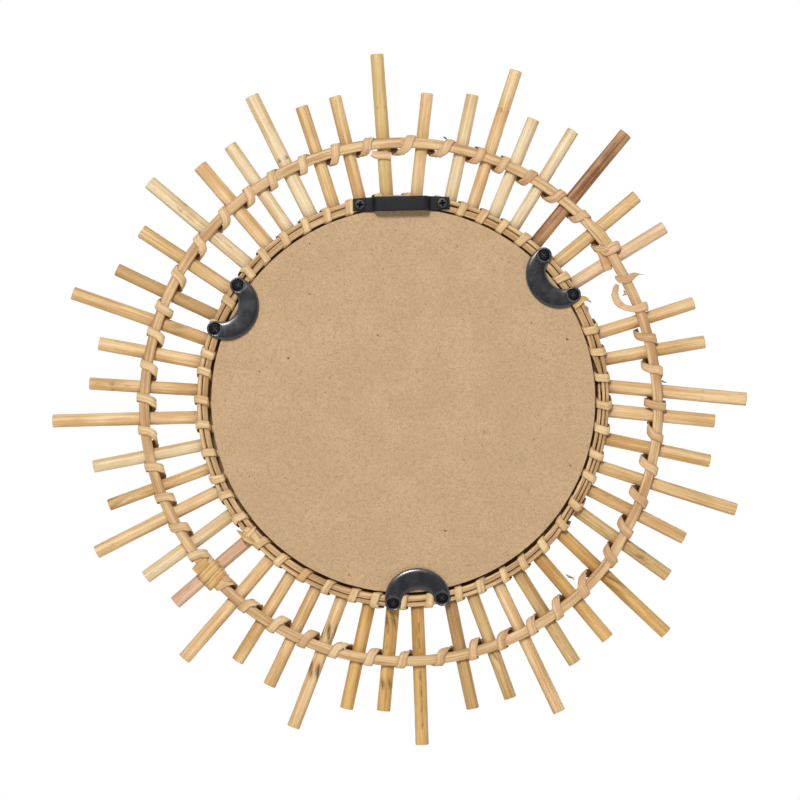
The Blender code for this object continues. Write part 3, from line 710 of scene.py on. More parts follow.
def strip_mesh(name, path, width, thickness, seed, inner_face_shade):
    """A flat split strip carried along a path of radius, bearing and depth.

    In the unrolled ring, whose axes are radius, length along the ring and depth, the strip's normal is the
    path's direction crossed with the ring's, and its side is the normal crossed with the direction. The
    section is a flat oval, domed on its outer face. The last argument is how far its other face is darkened
    to brown as painted shade, and both edges get a thin line of painted shade.
    """
    mean_radius = path[:, 0].mean()
    flat = path.copy()
    flat[:, 1] = np.radians(path[:, 1]) * mean_radius
    along = unit(np.gradient(flat, axis=0))
    normal = unit(np.cross(along, (0.0, 1.0, 0.0)))
    side = np.cross(normal, along)
    turn = full_turn(12)
    across, up = super_ellipse(turn, 0.5, 0.5, 2.6)
    up = up + 0.25 * (1 - (2 * across) ** 2) * (np.sin(turn) > 0)
    run = length_along(flat)
    spread = (width * (1 + 0.05 * waves(run * 260, seed)))[:, None] * across[None]
    rise = thickness * up[None] * (1 + 0.1 * waves(run[:, None] * 500 + across[None] * 5, seed + 1))
    rings = flat[:, None] + side[:, None] * spread[..., None] + normal[:, None] * rise[..., None]
    points = place(rings[..., 0], np.degrees(rings[..., 1] / mean_radius), rings[..., 2])
    grain = stacked(spread, thickness * up[None] + seed, run[:, None])
    # Painted shade: a dark line along both edges, and the inner face browned where it lies in shade.
    stain_and_shade = np.maximum(0.5 * strip_edge(across), inner_face_shade * (np.sin(turn) < -0.3))
    return skin(name, points, grain, stain_and_shade=stain_and_shade[None])


def strip_edge(across):
    """0 over the middle of a strip and up to 1 at both of its edges, as across runs from -0.5 to 0.5."""
    return limited((np.abs(across) - 0.41) / 0.09)


def curve(stations, steps):
    """A smooth curve through stations: cubics whose slopes are half the step between their neighbours."""
    padded = np.vstack((2 * stations[0] - stations[1], stations, 2 * stations[-1] - stations[-2]))
    before, start, end, after = (padded[i:len(padded) - 3 + i, None] for i in range(4))
    t = np.linspace(0, 1, steps, endpoint=False)[None, :, None]
    pieces = (
        start + (end - before) * t / 2 + (2 * before - 5 * start + 4 * end - after) * t**2 / 2
        + (3 * start - before - 3 * end + after) * t**3 / 2
    )
    return np.vstack((pieces.reshape(-1, stations.shape[1]), stations[-1:]))


def loose_strip(name, stations, thickness, seed, ragged):
    """A loose piece of strip, from stations of pixel column, pixel row, depth, width and lean in degrees.

    The section is a flat oval. It lies flat to the camera where the lean is 0 or isn't given, and turns about
    the path by the lean. Ragged is the share of the width that saw teeth take from the last part.
    """
    stations = [(*station, 0.0)[:5] for station in stations]
    column, row, depth, width, lean = curve(np.array(stations, float), 9).T
    middle = seen_at(column, row, depth)
    along = unit(np.gradient(middle, axis=0))
    side = unit(np.cross(along, (0.0, 1.0, 0.0)))
    normal = np.cross(side, along)
    c, s = np.cos(np.radians(lean))[:, None], np.sin(np.radians(lean))[:, None]
    side, normal = side * c + normal * s, normal * c - side * s
    across, up = super_ellipse(full_turn(14), 0.5, 0.5, 2.6)
    run = length_along(middle)
    share = run / run[-1]
    teeth = 1 - ragged * limited((share - 0.55) / 0.2) * (1 - (run * 900) % 1)
    spread = (width * teeth)[:, None] * across[None] * (1 + 0.05 * waves(run * 900, seed))[:, None]
    rise = thickness * (up[None] + 0.35 * waves(run * 700, seed + 1)[:, None])
    rings = middle[:, None] + side[:, None] * spread[..., None] + normal[:, None] * rise[..., None]
    grain = stacked(spread, thickness * up[None] + seed, run[:, None])
    rough_end = 0.8 * ragged * limited((share - 0.8) / 0.2)[:, None]
    # Painted shade: a thin dark line along both edges; the ragged end is darker as well.
    return skin(name, rings, grain, stain_and_shade=np.maximum(0.4 * strip_edge(across)[None], rough_end))


STICK_AXES = {slot: stick_ends(f"stick_{slot:02d}")[0] for slot in STICK_SLOTS}


def stick_bearing_at(slot, radius):
    """The bearing at which a stick's axis crosses a circle.

    The share of the way from the foot to the tip is the greater root of a quadratic.
    """
    ends = STICK_AXES[slot]
    foot, tip = np.stack((RING_X - ends[:, 0], ends[:, 2] - RING_Z), -1)
    step = tip - foot
    a, b, c = step @ step, 2 * foot @ step, foot @ foot - radius * radius
    share = (-b + np.sqrt(b * b - 4 * a * c)) / (2 * a)
    x, z = foot + step * share
    return np.degrees(np.arctan2(x, z)) - RING_TURN


def gap_limits(bearing, radius, width):
    """Lowest and highest bearing that a strip's middle may take between the two sticks about a bearing."""
    room = np.degrees((STICK_RADIUS + STRIP_SEAT + width / 2) / radius)
    offsets = [offset_from(stick_bearing_at(slot, radius), bearing) for slot in STICK_SLOTS]
    low = max(offset for offset in offsets if offset <= 0)
    high = min(offset for offset in offsets if offset > 0)
    return bearing + low + room, bearing + high - room


def turn_places(band, inside, outside, width):
    """Where a strip comes up inside and goes down outside, so that it clears the sticks beside its band.

    Inside it comes up close to the stick before, and not too far back. Outside it goes down a little past the
    band, and midway between the sticks where the strip is wider than their gap.
    """
    up = max(gap_limits(band, inside, width)[0], band - BAND_BACK)
    low, high = gap_limits(band, outside, width)
    down = (low + high) / 2 if low > high else min(max(band + BAND_AHEAD, low), high)
    return up, down


def spiral(bands, turn_stations, inside, outside, width, seed):
    """The path of a binding: the stations of each band's turn, in order round the ring."""
    rng = np.random.default_rng(seed)
    places = [turn_places(band, inside, outside, width) for band in bands]
    following = [up for up, down in places[1:]] + [None]
    stations = []
    for band, (up, down), next_up in zip(bands, places, following):
        stations += turn_stations(up, band, down, next_up, rng.uniform(0.6, 1.25))
    return np.array(stations)


def outer_turn(up, band, down, following, slack):
    """Stations of one turn on the outer ring, as radius, bearing and depth.

    Inside, the strip stands off the hoop and arches over its edge, upright about one bearing and leaning
    elsewhere. Outside, it swells a little on its way down between two sticks.
    """
    half = HOOP_WIDTH / 2
    inner = hoop_radius("outer_back_hoop", band) - half
    outer = hoop_radius("outer_back_hoop", down) + half
    front_inner = hoop_radius("outer_front_hoop", up) - half
    swing = band - up
    upright = np.array([
        (front_inner - STRIP_SEAT, up, -HOOP_NEAR),
        (inner - 0.0026 * slack, up, HOOP_NEAR - 0.0012),
        (inner - 0.0034 * slack, up + 0.12 * swing, HOOP_NEAR + 0.0010),
        (inner - 0.0031 * slack, up + 0.38 * swing, HOOP_FAR + 0.0001),
        (inner - 0.0016 * slack, up + 0.66 * swing, HOOP_FAR + 0.0010),
        (inner + 0.0008, up + 0.92 * swing, HOOP_FAR + STRIP_SEAT + 0.0003),
    ])
    leaning = np.array([
        (front_inner - STRIP_SEAT, up, -HOOP_NEAR),
        (inner - 0.0028 * slack, up, 0.0003),
        (inner - 0.0036 * slack, up + 0.04 * swing, HOOP_NEAR - 0.0008),
        (inner - 0.0028 * slack, up + 0.34 * swing, HOOP_NEAR + 0.0014),
        (inner - 0.0010 * slack, up + 0.68 * swing, HOOP_FAR - 0.0006),
        (inner + 0.0008, up + 0.92 * swing, HOOP_FAR + STRIP_SEAT),
    ])
    stand = bell(offset_from(band, STANDING_BEARING), STANDING_SPREAD)
    stations = list(leaning + (upright - leaning) * stand)
    stations += [
        (outer - 0.0008, band + 0.2, HOOP_FAR + STRIP_SEAT),
        (outer + 0.0009 * slack, (band + down) / 2 + 0.35, HOOP_FAR - 0.0007),
        (outer + 0.0012 * slack, down, HOOP_NEAR - 0.0006),
    ]
    if following is not None:
        front_outer = hoop_radius("outer_front_hoop", down) + half
        front_next = hoop_radius("outer_front_hoop", following) - half
        stations += [
            (front_outer + STRIP_SEAT + 0.0005, down, -HOOP_NEAR - 0.0005),
            (front_outer + STRIP_SEAT, down, FRONT_FACE - STRIP_SEAT),
            (front_next - STRIP_SEAT, following, FRONT_FACE - STRIP_SEAT),
        ]
    return stations


def inner_turn(up, band, down, following, slack):
    """Stations of one turn on the inner ring, as radius, bearing and depth."""
    ledge_inner = LEDGE_MIDDLE - LEDGE_WIDTH / 2
    up = max(up, band - INNER_BAND_BACK)
    inside = COIL_INNER - STRIP_SEAT - float(coil_lean(band))
    stations = [
        (inside, up, -HOOP_NEAR + 0.0008),
        (inside, (up + band) / 2 - 0.2, HOOP_FAR - 0.0014),
        (inside + 0.0007, band - 0.3, HOOP_FAR + STRIP_SEAT + 0.0002 * slack),
        (COIL_OUTER - 0.0006, band + 0.25, HOOP_FAR + STRIP_SEAT + 0.0003 * slack),
        (COIL_OUTER + 0.0010 * slack, (band + down) / 2 + 0.4, HOOP_FAR - 0.0006),
        (COIL_OUTER + 0.0007 * slack, down, HOOP_NEAR - 0.0006),
    ]
    if following is not None:
        stations += [
            (COIL_OUTER + STRIP_SEAT, down, FRONT_FACE - STRIP_SEAT),
            (ledge_inner - STRIP_SEAT, following, FRONT_FACE - STRIP_SEAT),
            (ledge_inner - STRIP_SEAT, following, -HOOP_NEAR + STRIP_SEAT),
        ]
    return stations


def even_steps(path, step):
    """The same path with points at even distances, measured in the unrolled ring."""
    flat = path * (1.0, radians(1) * path[:, 0].mean(), 1.0)
    run = length_along(flat)
    places = np.linspace(0, run[-1], int(run[-1] / step) + 1)
    return np.stack([np.interp(places, run, path[:, axis]) for axis in range(3)], -1)


# Depths of loose pieces that lie over the back hoops, over the sticks and beside the hoops
OVER_HOOP = HOOP_FAR + 0.0006
OVER_STICK = STICK_RADIUS * STICK_FULLNESS + 0.0005
BESIDE_HOOP = HOOP_NEAR + 0.0012

# Loose pieces that the photograph shows, each as name, tone, ragged share and its stations: pixel column,
# pixel row, depth, width and, where it isn't 0, lean
LOOSE_PIECES = (
    ("wrap_upper_right", "pale", 0.0, (
        (601.5, 249.5, BESIDE_HOOP, 0.0036, 30), (605.5, 251.2, HOOP_FAR, 0.0054, 10),
        (611.0, 248.6, OVER_HOOP, 0.0060), (615.8, 246.2, OVER_HOOP, 0.0058),
        (618.6, 245.2, HOOP_FAR - 0.0008, 0.0052), (619.8, 244.9, HOOP_NEAR, 0.0044),
    )),
    ("layer_upper_right", "straw", 0.0, (
        (584.0, 217.5, OVER_HOOP - 0.0002, 0.0010), (592.5, 225.5, OVER_HOOP, 0.0044),
        (601.0, 234.0, OVER_HOOP, 0.0050), (608.5, 244.0, OVER_HOOP - 0.0004, 0.0048),
    )),
    ("end_over_stick_8", "pale", 0.15, (
        (597, 246, BESIDE_HOOP, 0.0028, 40), (602.5, 256, OVER_STICK + 0.0010, 0.0046, 10),
        (606, 264, OVER_STICK, 0.0056), (608.5, 270.5, OVER_STICK, 0.0052),
    )),
    ("tail_leaf", "pale", 0.0, (
        (615.0, 276.0, BESIDE_HOOP, 0.0004), (617.5, 278.0, OVER_HOOP - 0.0010, 0.0030, 10),
        (621.5, 279.6, OVER_HOOP, 0.0040), (627.5, 279.4, OVER_HOOP, 0.0042),
        (633.0, 275.8, OVER_HOOP - 0.0004, 0.0034), (637.5, 274.3, OVER_HOOP - 0.0008, 0.0016),
        (640.5, 274.4, OVER_HOOP - 0.0010, 0.0005), (644.0, 274.9, OVER_HOOP - 0.0012, 0.0002),
    )),
    ("curl", "pale", 0.35, (
        (647.6, 306.0, HOOP_NEAR, 0.0040), (645.8, 306.3, OVER_HOOP - 0.0004, 0.0052),
        (643.0, 306.8, OVER_HOOP, 0.0052), (638.5, 308.3, OVER_HOOP, 0.0046),
        (632.0, 308.8, OVER_HOOP - 0.0004, 0.0036), (624.5, 307.3, BESIDE_HOOP, 0.0032),
        (618.4, 303.0, BESIDE_HOOP, 0.0044), (615.3, 297.0, BESIDE_HOOP, 0.0047),
        (615.4, 290.5, BESIDE_HOOP, 0.0042), (617.2, 284.5, BESIDE_HOOP, 0.0026),
    )),
    ("twig_in_curl", "brown", 0.0, (
        (622.5, 295.8, BESIDE_HOOP, 0.0005), (625.0, 294.4, BESIDE_HOOP, 0.0008),
        (627.0, 294.8, BESIDE_HOOP, 0.0004),
    )),
    ("twig_by_curl", "brown", 0.0, (
        (623.5, 290.0, BESIDE_HOOP, 0.0004), (624.8, 292.0, BESIDE_HOOP, 0.0008),
        (625.2, 294.5, BESIDE_HOOP, 0.0005),
    )),
    ("torn_end_inner_right", "golden", 0.5, (
        (574.0, 307.0, OVER_HOOP, 0.0030), (577.5, 303.5, OVER_HOOP + 0.0004, 0.0040),
        (582.0, 299.5, OVER_HOOP, 0.0038), (586.5, 299.0, HOOP_FAR, 0.0024, 20),
        (590.8, 302.2, HOOP_NEAR, 0.0008, 30),
    )),
    ("torn_chip_inner_right", "brown", 0.3, (
        (586.0, 306.0, HOOP_FAR, 0.0004), (587.3, 308.5, HOOP_FAR, 0.0014),
        (588.4, 311.5, HOOP_FAR, 0.0004),
    )),
    ("end_under_hoop_top", "pale", 0.0, (
        (371.5, 153.5, OVER_STICK, 0.0034), (376.0, 155.0, OVER_STICK, 0.0042),
        (383.0, 155.6, OVER_STICK, 0.0042), (391.5, 156.2, OVER_STICK, 0.0040),
    )),
    ("spur_top", "dark", 0.0, (
        (443.8, 137.2, HOOP_NEAR, 0.0006), (445.2, 138.0, HOOP_FAR, 0.0010),
        (446.8, 139.0, HOOP_FAR, 0.0005),
    )),
    ("spur_right", "dark", 0.0, (
        (662.0, 381.0, HOOP_FAR, 0.0008), (664.5, 382.2, HOOP_NEAR, 0.0007),
        (667.0, 382.4, HOOP_NEAR, 0.0003),
    )),
    ("twig_lower_right", "brown", 0.3, (
        (566.0, 574.5, BESIDE_HOOP, 0.0005), (569.5, 577.0, BESIDE_HOOP, 0.0012),
        (573.0, 578.0, BESIDE_HOOP, 0.0008), (574.0, 580.5, BESIDE_HOOP, 0.0003),
    )),
    ("sliver_on_coil", "pale", 0.0, (
        (583.0, 476.0, OVER_HOOP, 0.0004), (581.0, 482.0, OVER_HOOP, 0.0013),
        (578.0, 488.5, OVER_HOOP, 0.0017), (573.5, 496.5, OVER_HOOP, 0.0009),
        (571.5, 499.5, OVER_HOOP, 0.0003),
    )),
    ("splice_first", "golden", 0.0, (
        (210.5, 558.5, HOOP_NEAR, 0.0046), (207.5, 561.0, OVER_HOOP + 0.0002, 0.0054),
        (201.0, 566.5, OVER_HOOP + 0.0004, 0.0056), (195.0, 572.0, OVER_HOOP + 0.0002, 0.0052),
    )),
    ("splice_second", "golden", 0.0, (
        (219.0, 563.0, HOOP_NEAR, 0.0046), (215.5, 565.5, OVER_HOOP + 0.0006, 0.0056),
        (208.5, 572.0, OVER_HOOP + 0.0008, 0.0056), (202.5, 578.5, OVER_HOOP, 0.0054),
        (200.5, 580.5, HOOP_NEAR, 0.0050),
    )),
    ("splice_third", "golden", 0.0, (
        (224.5, 570.0, HOOP_NEAR, 0.0046), (221.5, 572.5, OVER_HOOP + 0.0004, 0.0052),
        (215.0, 579.5, OVER_HOOP + 0.0006, 0.0052), (209.5, 586.0, OVER_HOOP, 0.0050),
        (207.5, 588.0, HOOP_NEAR, 0.0046),
    )),
    ("knot_inner_left", "pale", 0.6, (
        (258.0, 543.5, OVER_HOOP, 0.0040), (253.0, 537.5, OVER_HOOP + 0.0006, 0.0068),
        (246.5, 531.5, OVER_HOOP + 0.0004, 0.0062), (241.5, 527.0, HOOP_NEAR, 0.0026),
    )),
    ("knot_end_left", "golden", 0.7, (
        (253.0, 542.5, OVER_HOOP + 0.0010, 0.0030), (246.0, 538.0, OVER_HOOP + 0.0012, 0.0036),
        (240.5, 533.0, HOOP_NEAR + 0.0010, 0.0026), (237.0, 530.5, HOOP_NEAR, 0.0008),
    )),
    ("knot_cross_left", "pale", 0.3, (
        (244.0, 541.0, HOOP_FAR, 0.0016), (247.5, 535.5, OVER_HOOP + 0.0014, 0.0030),
        (252.5, 530.5, OVER_HOOP + 0.0012, 0.0026), (255.5, 527.0, HOOP_FAR, 0.0010),
    )),
)


def clip_rings():
    """A crescent clip upright round its own origin, as rings across its arc.

    The arc's middle line is half of an ellipse. The half width grows with the cosine of the swing and closes
    in a half circle past each end. The section has a flat underside, a tight rounded rim and a low dome. The
    middle of the underside reaches down to the board, and a round seat is sunk at each screw.
    """
    steps, cap = 72, 16
    swing = np.linspace(-90, 90, steps)
    close = np.sin(np.linspace(0, pi / 2, cap + 1)[1:]) * 0.999
    half = CLIP_END_WIDTH / 2
    past = np.concatenate((-close[::-1], np.zeros(steps), close))
    angle = np.concatenate((np.full(cap, -90.0), swing, np.full(cap, 90.0)))
    width = half * np.sqrt(1 - past**2) + CLIP_WIDENING * np.cos(np.radians(angle))
    turn = np.radians(angle)[:, None]
    across, up = super_ellipse(full_turn(64)[None], 1.0, 1.0, 6.0)
    out = width[:, None] * across
    x = (CLIP_ARC + out) * np.sin(turn) + (past * half)[:, None] * np.cos(turn)
    z = -(CLIP_RISE + out) * np.cos(turn) + (past * half)[:, None] * np.sin(turn)
    rim = CLIP_THICKNESS * 0.92
    top = np.where(up > 0, rim * up, 0.0)
    dome = (CLIP_THICKNESS - rim) * (1 - across**2) * (up > 0) * np.sqrt(1 - past**2)[:, None]
    depth = top + dome
    nose = limited((48 - np.abs(angle)) / 10)[:, None] * limited((0.55 - np.abs(across)) / 0.15)
    low = BOARD_BACK + 0.0002 - FITTING_SEAT
    depth = depth + low * nose * (up < 0)
    for side in (-1, 1):
        away = np.hypot(x - side * CLIP_ARC, z)
        sunk = limited((SCREW_SEAT_RADIUS - away) / SCREW_SEAT_SLOPE)
        depth = depth - SCREW_SEAT_DEPTH * (up > 0) * sunk
    return x, np.maximum(depth, low), z


def set_on_ring(x, depth, z, radius, bearing, twist, seat):
    """Moves a fitting from its own frame to its bearing: turned about its origin, then set at the radius."""
    turn = radians(bearing + twist + RING_TURN)
    centre = place(radius, bearing, seat)
    across = centre[0] + x * cos(turn) - z * sin(turn)
    return stacked(across, centre[1] + depth, centre[2] + x * sin(turn) + z * cos(turn))


def screw_rings(height, foot, angle):
    """A low domed head with a cross recess, as rings from its middle out and down to its foot.

    The height falls off as the fourth power of the distance. The recess is two crossed slots, each a box with
    softened sides. The head is turned by the angle, and the last array is painted shade: dark in the recess
    and in a ring at the rim.
    """
    reach = np.concatenate((np.linspace(0.02, 0.98, 26), [1.0, 1.0, 0.98]))
    phase = full_turn(64)
    x = SCREW_RADIUS * reach[:, None] * np.cos(phase)
    z = SCREW_RADIUS * reach[:, None] * np.sin(phase)
    top = height * (1 - 0.25 * reach**4)
    top[-3:] = (height * 0.6, 0.0, foot)
    slots = np.zeros_like(x)
    for along, across in ((x, z), (z, x)):
        beside = limited((0.00050 - np.abs(across)) / 0.00014)
        slots = np.maximum(slots, beside * limited((0.00185 - np.abs(along)) / 0.0003))
    depth = top[:, None] - 0.0007 * slots * (reach < 0.97)[:, None]
    rim = limited((reach - 0.90) / 0.06)[:, None]
    c, s = cos(angle), sin(angle)
    return x * c - z * s, depth, x * s + z * c, np.maximum(slots, rim)


def disc_rings(radius, low, high, bevel, steps, around, seed, uneven):
    """A round plate as rings from the middle of its front, over its rim, to the middle of its back."""
    flat = np.linspace(0.02, 1, steps) * (radius - bevel)
    lip = np.radians(np.linspace(0, 90, 5))
    rim_r = radius - bevel + bevel * np.sin(lip)
    rim_y = bevel * (1 - np.cos(lip))
    r = np.concatenate((flat, rim_r[1:], rim_r[:-1][::-1], flat[::-1]))
    y = np.concatenate((np.full(steps, low), low + rim_y[1:], high - rim_y[:-1][::-1], np.full(steps, high)))
    phase = full_turn(around)
    near_rim = limited((r / radius - 0.9) / 0.1)[:, None]
    reach = r[:, None] - near_rim * uneven * (1 + waves(np.cos(phase) * 23 + np.sin(phase) * 31, seed))[None]
    x = BOARD_X + reach * np.cos(phase)
    z = BOARD_Z + reach * np.sin(phase)
    return stacked(x, STICK_PLANE + y[:, None], z)


class MirrorSizes(PropertyGroup):
    """Sizes that change the finish of the frame without moving any solid."""

    stick_sides: IntProperty(
        name="Stick sides", description="Faces round each cane stick", default=40, min=8, max=64,
    )
    strip_thickness: FloatProperty(
        name="Strip thickness", description="Thickness of the binding strip",
        default=0.0006, min=0.0003, max=0.0009, unit="LENGTH", subtype="DISTANCE",
    )
    inner_strip_width: FloatProperty(
        name="Inner strip width", description="Width of the strip round the inner ring",
        default=0.0046, min=0.003, max=0.006, unit="LENGTH", subtype="DISTANCE",
    )
    outer_strip_width: FloatProperty(
        name="Outer strip width", description="Width of the strip round the outer ring",
        default=0.0050, min=0.003, max=0.006, unit="LENGTH", subtype="DISTANCE",
    )


class MirrorColours(PropertyGroup):
    """Colours of the finishes, in linear light."""

    binding: FloatVectorProperty(
        name="Binding", description="Pale tone of the binding strip",
        default=linear(238, 206, 158), subtype="COLOR", size=3, min=0, max=1,
    )
    hoop: FloatVectorProperty(
        name="Hoops", description="Pale tone of the split cane hoops",
        default=linear(232, 196, 146), subtype="COLOR", size=3, min=0, max=1,
    )
    board: FloatVectorProperty(
        name="Board", description="Tone of the backing board",
        default=linear(203, 170, 131), subtype="COLOR", size=3, min=0, max=1,
    )
    fittings: FloatVectorProperty(
        name="Fittings", description="Tone of the black clips and hanger",
        default=linear(28, 29, 33), subtype="COLOR", size=3, min=0, max=1,
    )


class WALLMIRROR_OT_sticks(Operator):
    """Make the cane sticks"""

    bl_idname = "wallmirror.sticks"
    bl_label = "Cane Sticks"

    def execute(self, context):
        sizes = context.scene.wall_mirror_sizes
        materials = {}
        for tone, (light, dark) in STICK_TONES.items():
            materials[tone] = cane_material(f"cane_{tone}", linear(*light), linear(*dark), streak=0.6)
        tone_of = {slot: tone for tone, slots in TONE_SLOTS.items() for slot in slots}
        for slot in STICK_SLOTS:
            node = f"stick_{slot:02d}"
            mesh = stick_mesh(node, slot, sizes.stick_sides)
            show(mesh, materials[tone_of.get(slot, "pale")], "cane_stick", node)
        return {"FINISHED"}


class WALLMIRROR_OT_hoops(Operator):
    """Make the three hoops and the coil of split cane"""

    bl_idname = "wallmirror.hoops"
    bl_label = "Split Cane Hoops"

    def execute(self, context):
        light = tuple(context.scene.wall_mirror_colours.hoop)
        material = cane_material("split_cane", light, linear(184, 141, 93), streak=0.7, speck=0.2)
        bearing = np.arange(HOOP_STEPS) * 360 / HOOP_STEPS
        half = HOOP_WIDTH / 2
        back = sweep_hoop(
            "hoop_outer_back", hoop_radius("outer_back_hoop", bearing), half, HOOP_NEAR, HOOP_FAR, 1,
            seams=((0.35, 45, 52), (0.3, 113, 137)),
        )
        show(back, material, "split_cane", "outer_back_hoop")
        front = sweep_hoop(
            "hoop_outer_front", hoop_radius("outer_front_hoop", bearing) + HIDDEN_EDGE, half - HIDDEN_EDGE,
            FRONT_FACE, -HOOP_NEAR, 2,
        )
        show(front, material, "split_cane", "outer_front_hoop")
        # The ledge's back is nearly black painted shade, for the shade in the slot between the coil and the
        # board.
        ledge = sweep_hoop(
            "hoop_inner_front", np.full(HOOP_STEPS, LEDGE_MIDDLE + LEDGE_SPREAD / 2),
            (LEDGE_WIDTH + LEDGE_SPREAD) / 2, FRONT_FACE, -HOOP_NEAR, 3, back_shade=0.97,
        )
        show(ledge, material, "split_cane", "inner_front_hoop")
        show(coil_mesh(), material, "split_cane", "inner_back_coil")
        return {"FINISHED"}


class WALLMIRROR_OT_bindings(Operator):
    """Make the strips that bind both rings"""

    bl_idname = "wallmirror.bindings"
    bl_label = "Bindings"

    def execute(self, context):
        sizes = context.scene.wall_mirror_sizes
        light = tuple(context.scene.wall_mirror_colours.binding)
        outer = cane_material(
            "binding_outer", light, linear(204, 162, 114), streak=0.6, speck=0.15, right=(0.95, 0.89, 0.88),
        )
        inner = cane_material("binding_inner", light, linear(206, 166, 110), streak=0.6, speck=0.15)
        outer_middle = float(HOOP_LINES["outer_back_hoop"][1].mean())
        outer_passes = (outer_middle - 0.006, outer_middle + 0.004)
        inner_passes = (COIL_INNER, COIL_OUTER + 0.0008)
        # The last value of each strip is the painted shade on its inner face, which lies in shade.
        strips = (
            ("strip_outer", OUTER_BANDS, outer_turn, sizes.outer_strip_width, outer_passes, outer, 0.75),
            ("strip_inner", INNER_BANDS, inner_turn, sizes.inner_strip_width, inner_passes, inner, 0.15),
        )
        nodes = ("outer_binding", "inner_binding")
        for index, (name, bands, stations_of, width, passes, material, inner_face_shade) in enumerate(strips):
            path = spiral(bands, stations_of, *passes, width, 40 + index)
            path = even_steps(round_corners(path, STRIP_BEND, 7), STRIP_STEP)
            mean_width = width * STRIP_FULLNESS
            mesh = strip_mesh(name, path, mean_width, sizes.strip_thickness, 20 + index, inner_face_shade)
            show(mesh, material, "binding", nodes[index])
        tones = {
            "pale": outer,
            "straw": inner,
            "dark": cane_material("strip_dark", linear(120, 88, 58), linear(70, 48, 30), 0.6),
            "golden": cane_material("strip_golden", linear(232, 194, 132), linear(196, 148, 84), 0.7, 0.2),
            "brown": cane_material("strip_brown", linear(200, 156, 108), linear(140, 98, 60), 0.6),
        }
        for index, (name, tone, ragged, stations) in enumerate(LOOSE_PIECES):
            mesh = loose_strip(name, stations, sizes.strip_thickness, 60 + index, ragged)
            show(mesh, tones[tone], "binding")
        return {"FINISHED"}


class WALLMIRROR_OT_board_and_glass(Operator):
    """Make the backing board and the mirror glass"""

    bl_idname = "wallmirror.board_and_glass"
    bl_label = "Board and Glass"

    def execute(self, context):
        tone = tuple(context.scene.wall_mirror_colours.board)
        rings = disc_rings(BOARD_RADIUS, BOARD_FRONT, BOARD_BACK, 0.0004, 14, 240, 3, 0.00008)
        board = skin("board_of_pressed_fibre", rings)
        show(board, board_material(tone), "board", "backing_board")
        rings = disc_rings(GLASS_RADIUS, GLASS_FRONT, GLASS_BACK, 0.0005, 10, 180, 4, 0.0)
        glass = skin("glass_silvered", rings)
        show(glass, glass_material(), "mirror", "mirror_glass")
        return {"FINISHED"}


def board_material(tone):
    """Pressed fibre board: fine fibres in all directions, soft clouds and a few dark specks."""
    s = Shading("pressed_fibre_board", 0.75, specular=0.2)
    spot = s.objects_place()
    clouds = s.noise(spot, 45, detail=4)
    fibres = s.noise(spot, 800, detail=4, distortion=1.6)
    flecks = s.noise(s.scaled(spot, (620, 620, 360)), detail=2, distortion=2.2)
    dark = shaded(tone, 0.80)
    light = shaded(tone, 1.14)
    body = s.mix(s.fade(clouds, 0.35, 0.65, 0.45, 0.65), dark, light)
    body = s.mix(s.fade(fibres, 0.44, 0.62, 0.0, 0.7), body, shaded(tone, 0.70))
    body = s.mix(s.fade(flecks, 0.62, 0.73, 0.0, 0.65), body, shaded(tone, 0.45))
    specks = s.noise(spot, 260, detail=1)
    body = s.mix(s.fade(specks, 0.755, 0.775, 0.0, 0.8), body, linear(86, 60, 40))
    return s.finish(body, s.fade(fibres, 0.3, 0.7, 0.68, 0.86), s.bump(fibres, 0.00006, 0.5))


def glass_material():
    """Silvered glass: a metal sheen with faint smudges, under a clear coat."""
    s = Shading("silvered_glass", 0.03, metallic=1.0)
    smudge = s.noise(s.objects_place(), 30, detail=5)
    s.set({"Coat Weight": 1.0, "Coat Roughness": 0.02})
    body = s.mix(s.fade(smudge, 0.4, 0.7), (0.86, 0.89, 0.88), (0.80, 0.84, 0.83))
    return s.finish(body, s.fade(smudge, 0.35, 0.75, 0.02, 0.07))


def black_material(name, tone, roughness, grit, specular):
    """Black lacquered steel: fine grit, faint rubbed patches and small dust specks."""
    s = Shading(name, roughness, specular=specular)
    spot = s.objects_place()
    grits = s.noise(spot, 2600, detail=3)
    rub = s.noise(spot, 190, detail=4)
    body = s.mix(s.fade(rub, 0.35, 0.7), tone, shaded(tone, 1.12))
    dust = s.noise(spot, 900, detail=2)
    body = s.mix(s.fade(dust, 0.74, 0.80, 0.0, 0.5), body, linear(150, 150, 150))
    # Painted shade: the screws' recesses and rims go near black and lose their sheen.
    body = s.mix(s.attribute("stain_and_shade"), body, linear(5, 5, 6))
    s.set({"Specular IOR Level": s.fade(s.attribute("stain_and_shade"), 0.0, 1.0, specular, 0.02)})
    rough = s.fade(rub, 0.3, 0.7, roughness - 0.04, roughness + 0.05)
    return s.finish(body, rough, s.bump(grits, 0.00005, grit))


class WALLMIRROR_OT_fittings(Operator):
    """Make the clips, the hanger and their screws"""

    bl_idname = "wallmirror.fittings"
    bl_label = "Clips, Hanger and Screws"

    def execute(self, context):
        tone = tuple(context.scene.wall_mirror_colours.fittings)
        lacquer = black_material("black_lacquer", tone, 0.24, 0.2, 0.9)
        matt = black_material("matt_black_strap", shaded(tone, 0.62), 0.55, 0.5, 0.22)
        sunk = black_material("black_sunk_screw", shaded(tone, 0.4), 0.45, 0.2, 0.10)
        steel = black_material("blackened_screw", linear(44, 44, 46), 0.40, 0.2, 0.35)
        make_clips(lacquer, sunk)
        make_hanger(matt, steel)
        return {"FINISHED"}


